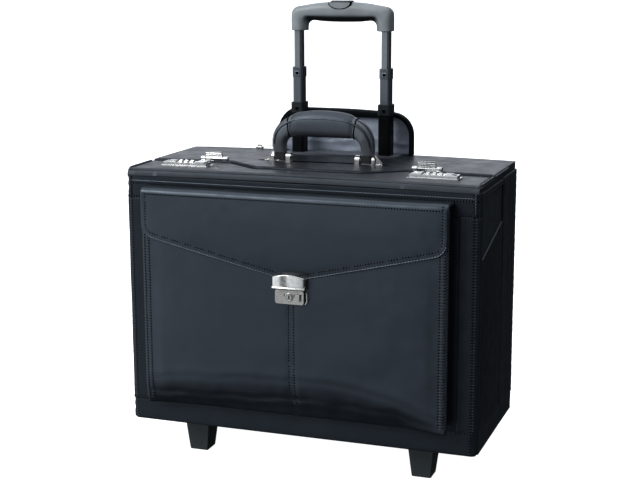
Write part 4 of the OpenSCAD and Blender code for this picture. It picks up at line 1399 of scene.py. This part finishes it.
def running_gear():
    restate("front_feet", FOOT, "case", 1.6, 3)
    restate("wheel_housings", HOUSING, "case", 0.8)
    restate("wheel_axles", STEEL, "case", 0.5)
    restate("zip_slider", NICKEL, "zip_slider", 0.35)
    for hand, _ in hands():
        lo, hi = cad("tyre_" + hand)
        centre = (lo + hi) / 2
        middle = P(*centre)
        r, half = (hi.z - lo.z) / 2, (hi.x - lo.x) / 2
        flank = [(2.0, r), (2.4, r - 0.7), (3.0, r - 0.7), (3.4, r), (half - 2.4, r - 0.5), (half, r - 3),
                 (half, r - 7.5), (half - 1, r - 9)]
        tyre = Shape().lathe([(-a, b) for a, b in flank[::-1]] + flank, middle, (1, 0, 0), 56)
        tyre.make("tyre_form_" + hand, RUBBER, "wheel_" + hand, "tyre_" + hand)
        hub = Shape()
        hub.lathe([(-6, r - 10.5), (-6, r - 8.1), (6, r - 8.1), (6, r - 10.5)], middle, (1, 0, 0), 48)
        hub.lathe([(-10, 4.1), (-10, 7.2), (-9, 8), (9, 8), (10, 7.2), (10, 4.1)], middle, (1, 0, 0), 36)
        hub.lathe([(-1.2, 7), (-1.2, r - 9), (1.2, r - 9), (1.2, 7)], middle, (1, 0, 0), 36)
        for k in range(5):
            angle = 2 * math.pi * k / 5
            c, s = math.cos(angle), math.sin(angle)

            def spoke(a, b, h, c=c, s=s):
                return P(centre.x + h, centre.y + a * c - b * s, centre.z + a * s + b * c)
            hub.prism([(7, -2), (r - 9, -1.6), (r - 9, 1.6), (7, 2)], -5, 5, spoke, 0.5, 2)
        hub.make("hub_form_" + hand, HOUSING, "wheel_" + hand, "hub_" + hand, even=True)


# --- room ---

def camera():
    """Stands where a viewer a little right of the case's middle sees its front and right side."""
    azimuth, elevation, roll = math.radians(19.55), math.radians(11.68), math.radians(-0.18)
    target, distance = P(-4, 100, 241), 1.813
    back = Vector((math.sin(azimuth) * math.cos(elevation), -math.cos(azimuth) * math.cos(elevation),
                   math.sin(elevation)))
    right = Vector((math.cos(azimuth), math.sin(azimuth), 0))
    up = back.cross(right)
    turn = Matrix.Rotation(roll, 3, back)
    axes = Matrix((turn @ right, turn @ up, back)).transposed()
    data = bpy.data.cameras.new("camera")
    data.sensor_width = 36
    data.lens = 76.5
    cam = placed("camera", data)
    cam.matrix_world = Matrix.Translation(target + back * distance) @ axes.to_4x4()
    bpy.context.scene.camera = cam


def floor():
    mesh = bpy.data.meshes.new("floor")
    far = 30
    mesh.from_pydata([(-far, -far, 0), (far, -far, 0), (far, far, 0), (-far, far, 0)], [], [(0, 1, 2, 3)])
    n = Nodes("floor_paper", (0.92, 0.92, 0.92), 0.9, specular=0.1)
    n.drive("Base Color", n.mix(n.noise(3), (0.92, 0.92, 0.92), (0.9, 0.9, 0.905)))
    n.set("Emission Color", (1, 1, 1, 1))
    n.set("Emission Strength", 1.0)
    mesh.materials.append(n.material)
    ground = placed("floor", mesh)
    ground.visible_glossy = ground.visible_diffuse = False


def world():
    """A studio: bright overhead and to the front left, a pale strip low behind, and dark at the right."""
    made = bpy.data.worlds.new("studio")
    bpy.context.scene.world = made
    made.use_nodes = True
    tree = made.node_tree
    direction = add_node(tree, "TexCoord", "Generated", {})
    # each light: its direction, the cosines where it starts and is full, and its strength
    lights = (((0, 0, 1), 0.55, 0.95, 1.3), ((-0.72, -0.68, 0.04), 0.5, 0.97, 0.95),
              ((-0.33, 0.92, 0.22), 0.86, 0.985, 1.15), ((0.94, -0.3, 0.2), 0.95, 0.99, 0.9))
    total = 0.0
    for toward, start, full, strength in lights:
        facing = add_node(tree, "VectorMath", "Value", {0: direction, 1: Vector(toward).normalized()},
                          operation="DOT_PRODUCT")
        lobe = add_node(tree, "MapRange", "Result", {"Value": facing, "From Min": start, "From Max": full,
                                                     "To Max": strength}, interpolation_type="SMOOTHSTEP")
        total = add_node(tree, "Math", "Value", {0: total, 1: lobe})
    # a narrow black flag upright in the bright front, seen as a band in polished metal
    flag = math.radians(-116)
    beside = add_node(tree, "VectorMath", "Value", {0: direction, 1: (-math.sin(flag), math.cos(flag), 0)},
                      operation="DOT_PRODUCT")
    away = add_node(tree, "Math", "Value", {0: beside}, operation="ABSOLUTE")
    clear = add_node(tree, "MapRange", "Result", {"Value": away, "From Min": 0.055, "From Max": 0.07,
                                                  "To Min": 0.08})
    total = add_node(tree, "Math", "Value", {0: total, 1: clear}, operation="MULTIPLY")
    total = add_node(tree, "Math", "Value", {0: total, 1: 0.03})
    tree.links.new(total, tree.nodes["Background"].inputs["Strength"])
    tree.nodes["Background"].inputs["Color"].default_value = (0.92, 0.97, 1.05, 1)


def key_light():
    """A soft square lamp high at the front left, aimed at the case's middle."""
    data = bpy.data.lights.new("key", "AREA")
    data.size, data.energy = 1.4, 40
    lamp = placed("key", data)
    lamp.location = (-1.6, -2.2, 2.2)
    lamp.rotation_mode = "QUATERNION"
    lamp.rotation_quaternion = (Vector((0, 0, 0.25)) - lamp.location).to_track_quat("-Z", "Y")


def materials_on_cad():
    """Gives every CAD node its material, whether it shows or not."""
    slots = {row["node"]: row["material_slot"] for row in frame["record"]["subparts"]}
    for name, node in frame["nodes"].items():
        node.data.materials.clear()
        node.data.materials.append(SLOTS[slots[name]][0])


materials_on_cad()
camera()
floor()
world()
key_light()
boards()
body_leather()
front_pocket()
pocket_flap()
lids()
carry_handle()
combination_locks()
brackets()
pocket_lock()
rivets()
trolley()
hood()
running_gear()

bpy.context.scene.view_settings.view_transform = "Standard"
bpy.context.view_layer.update()
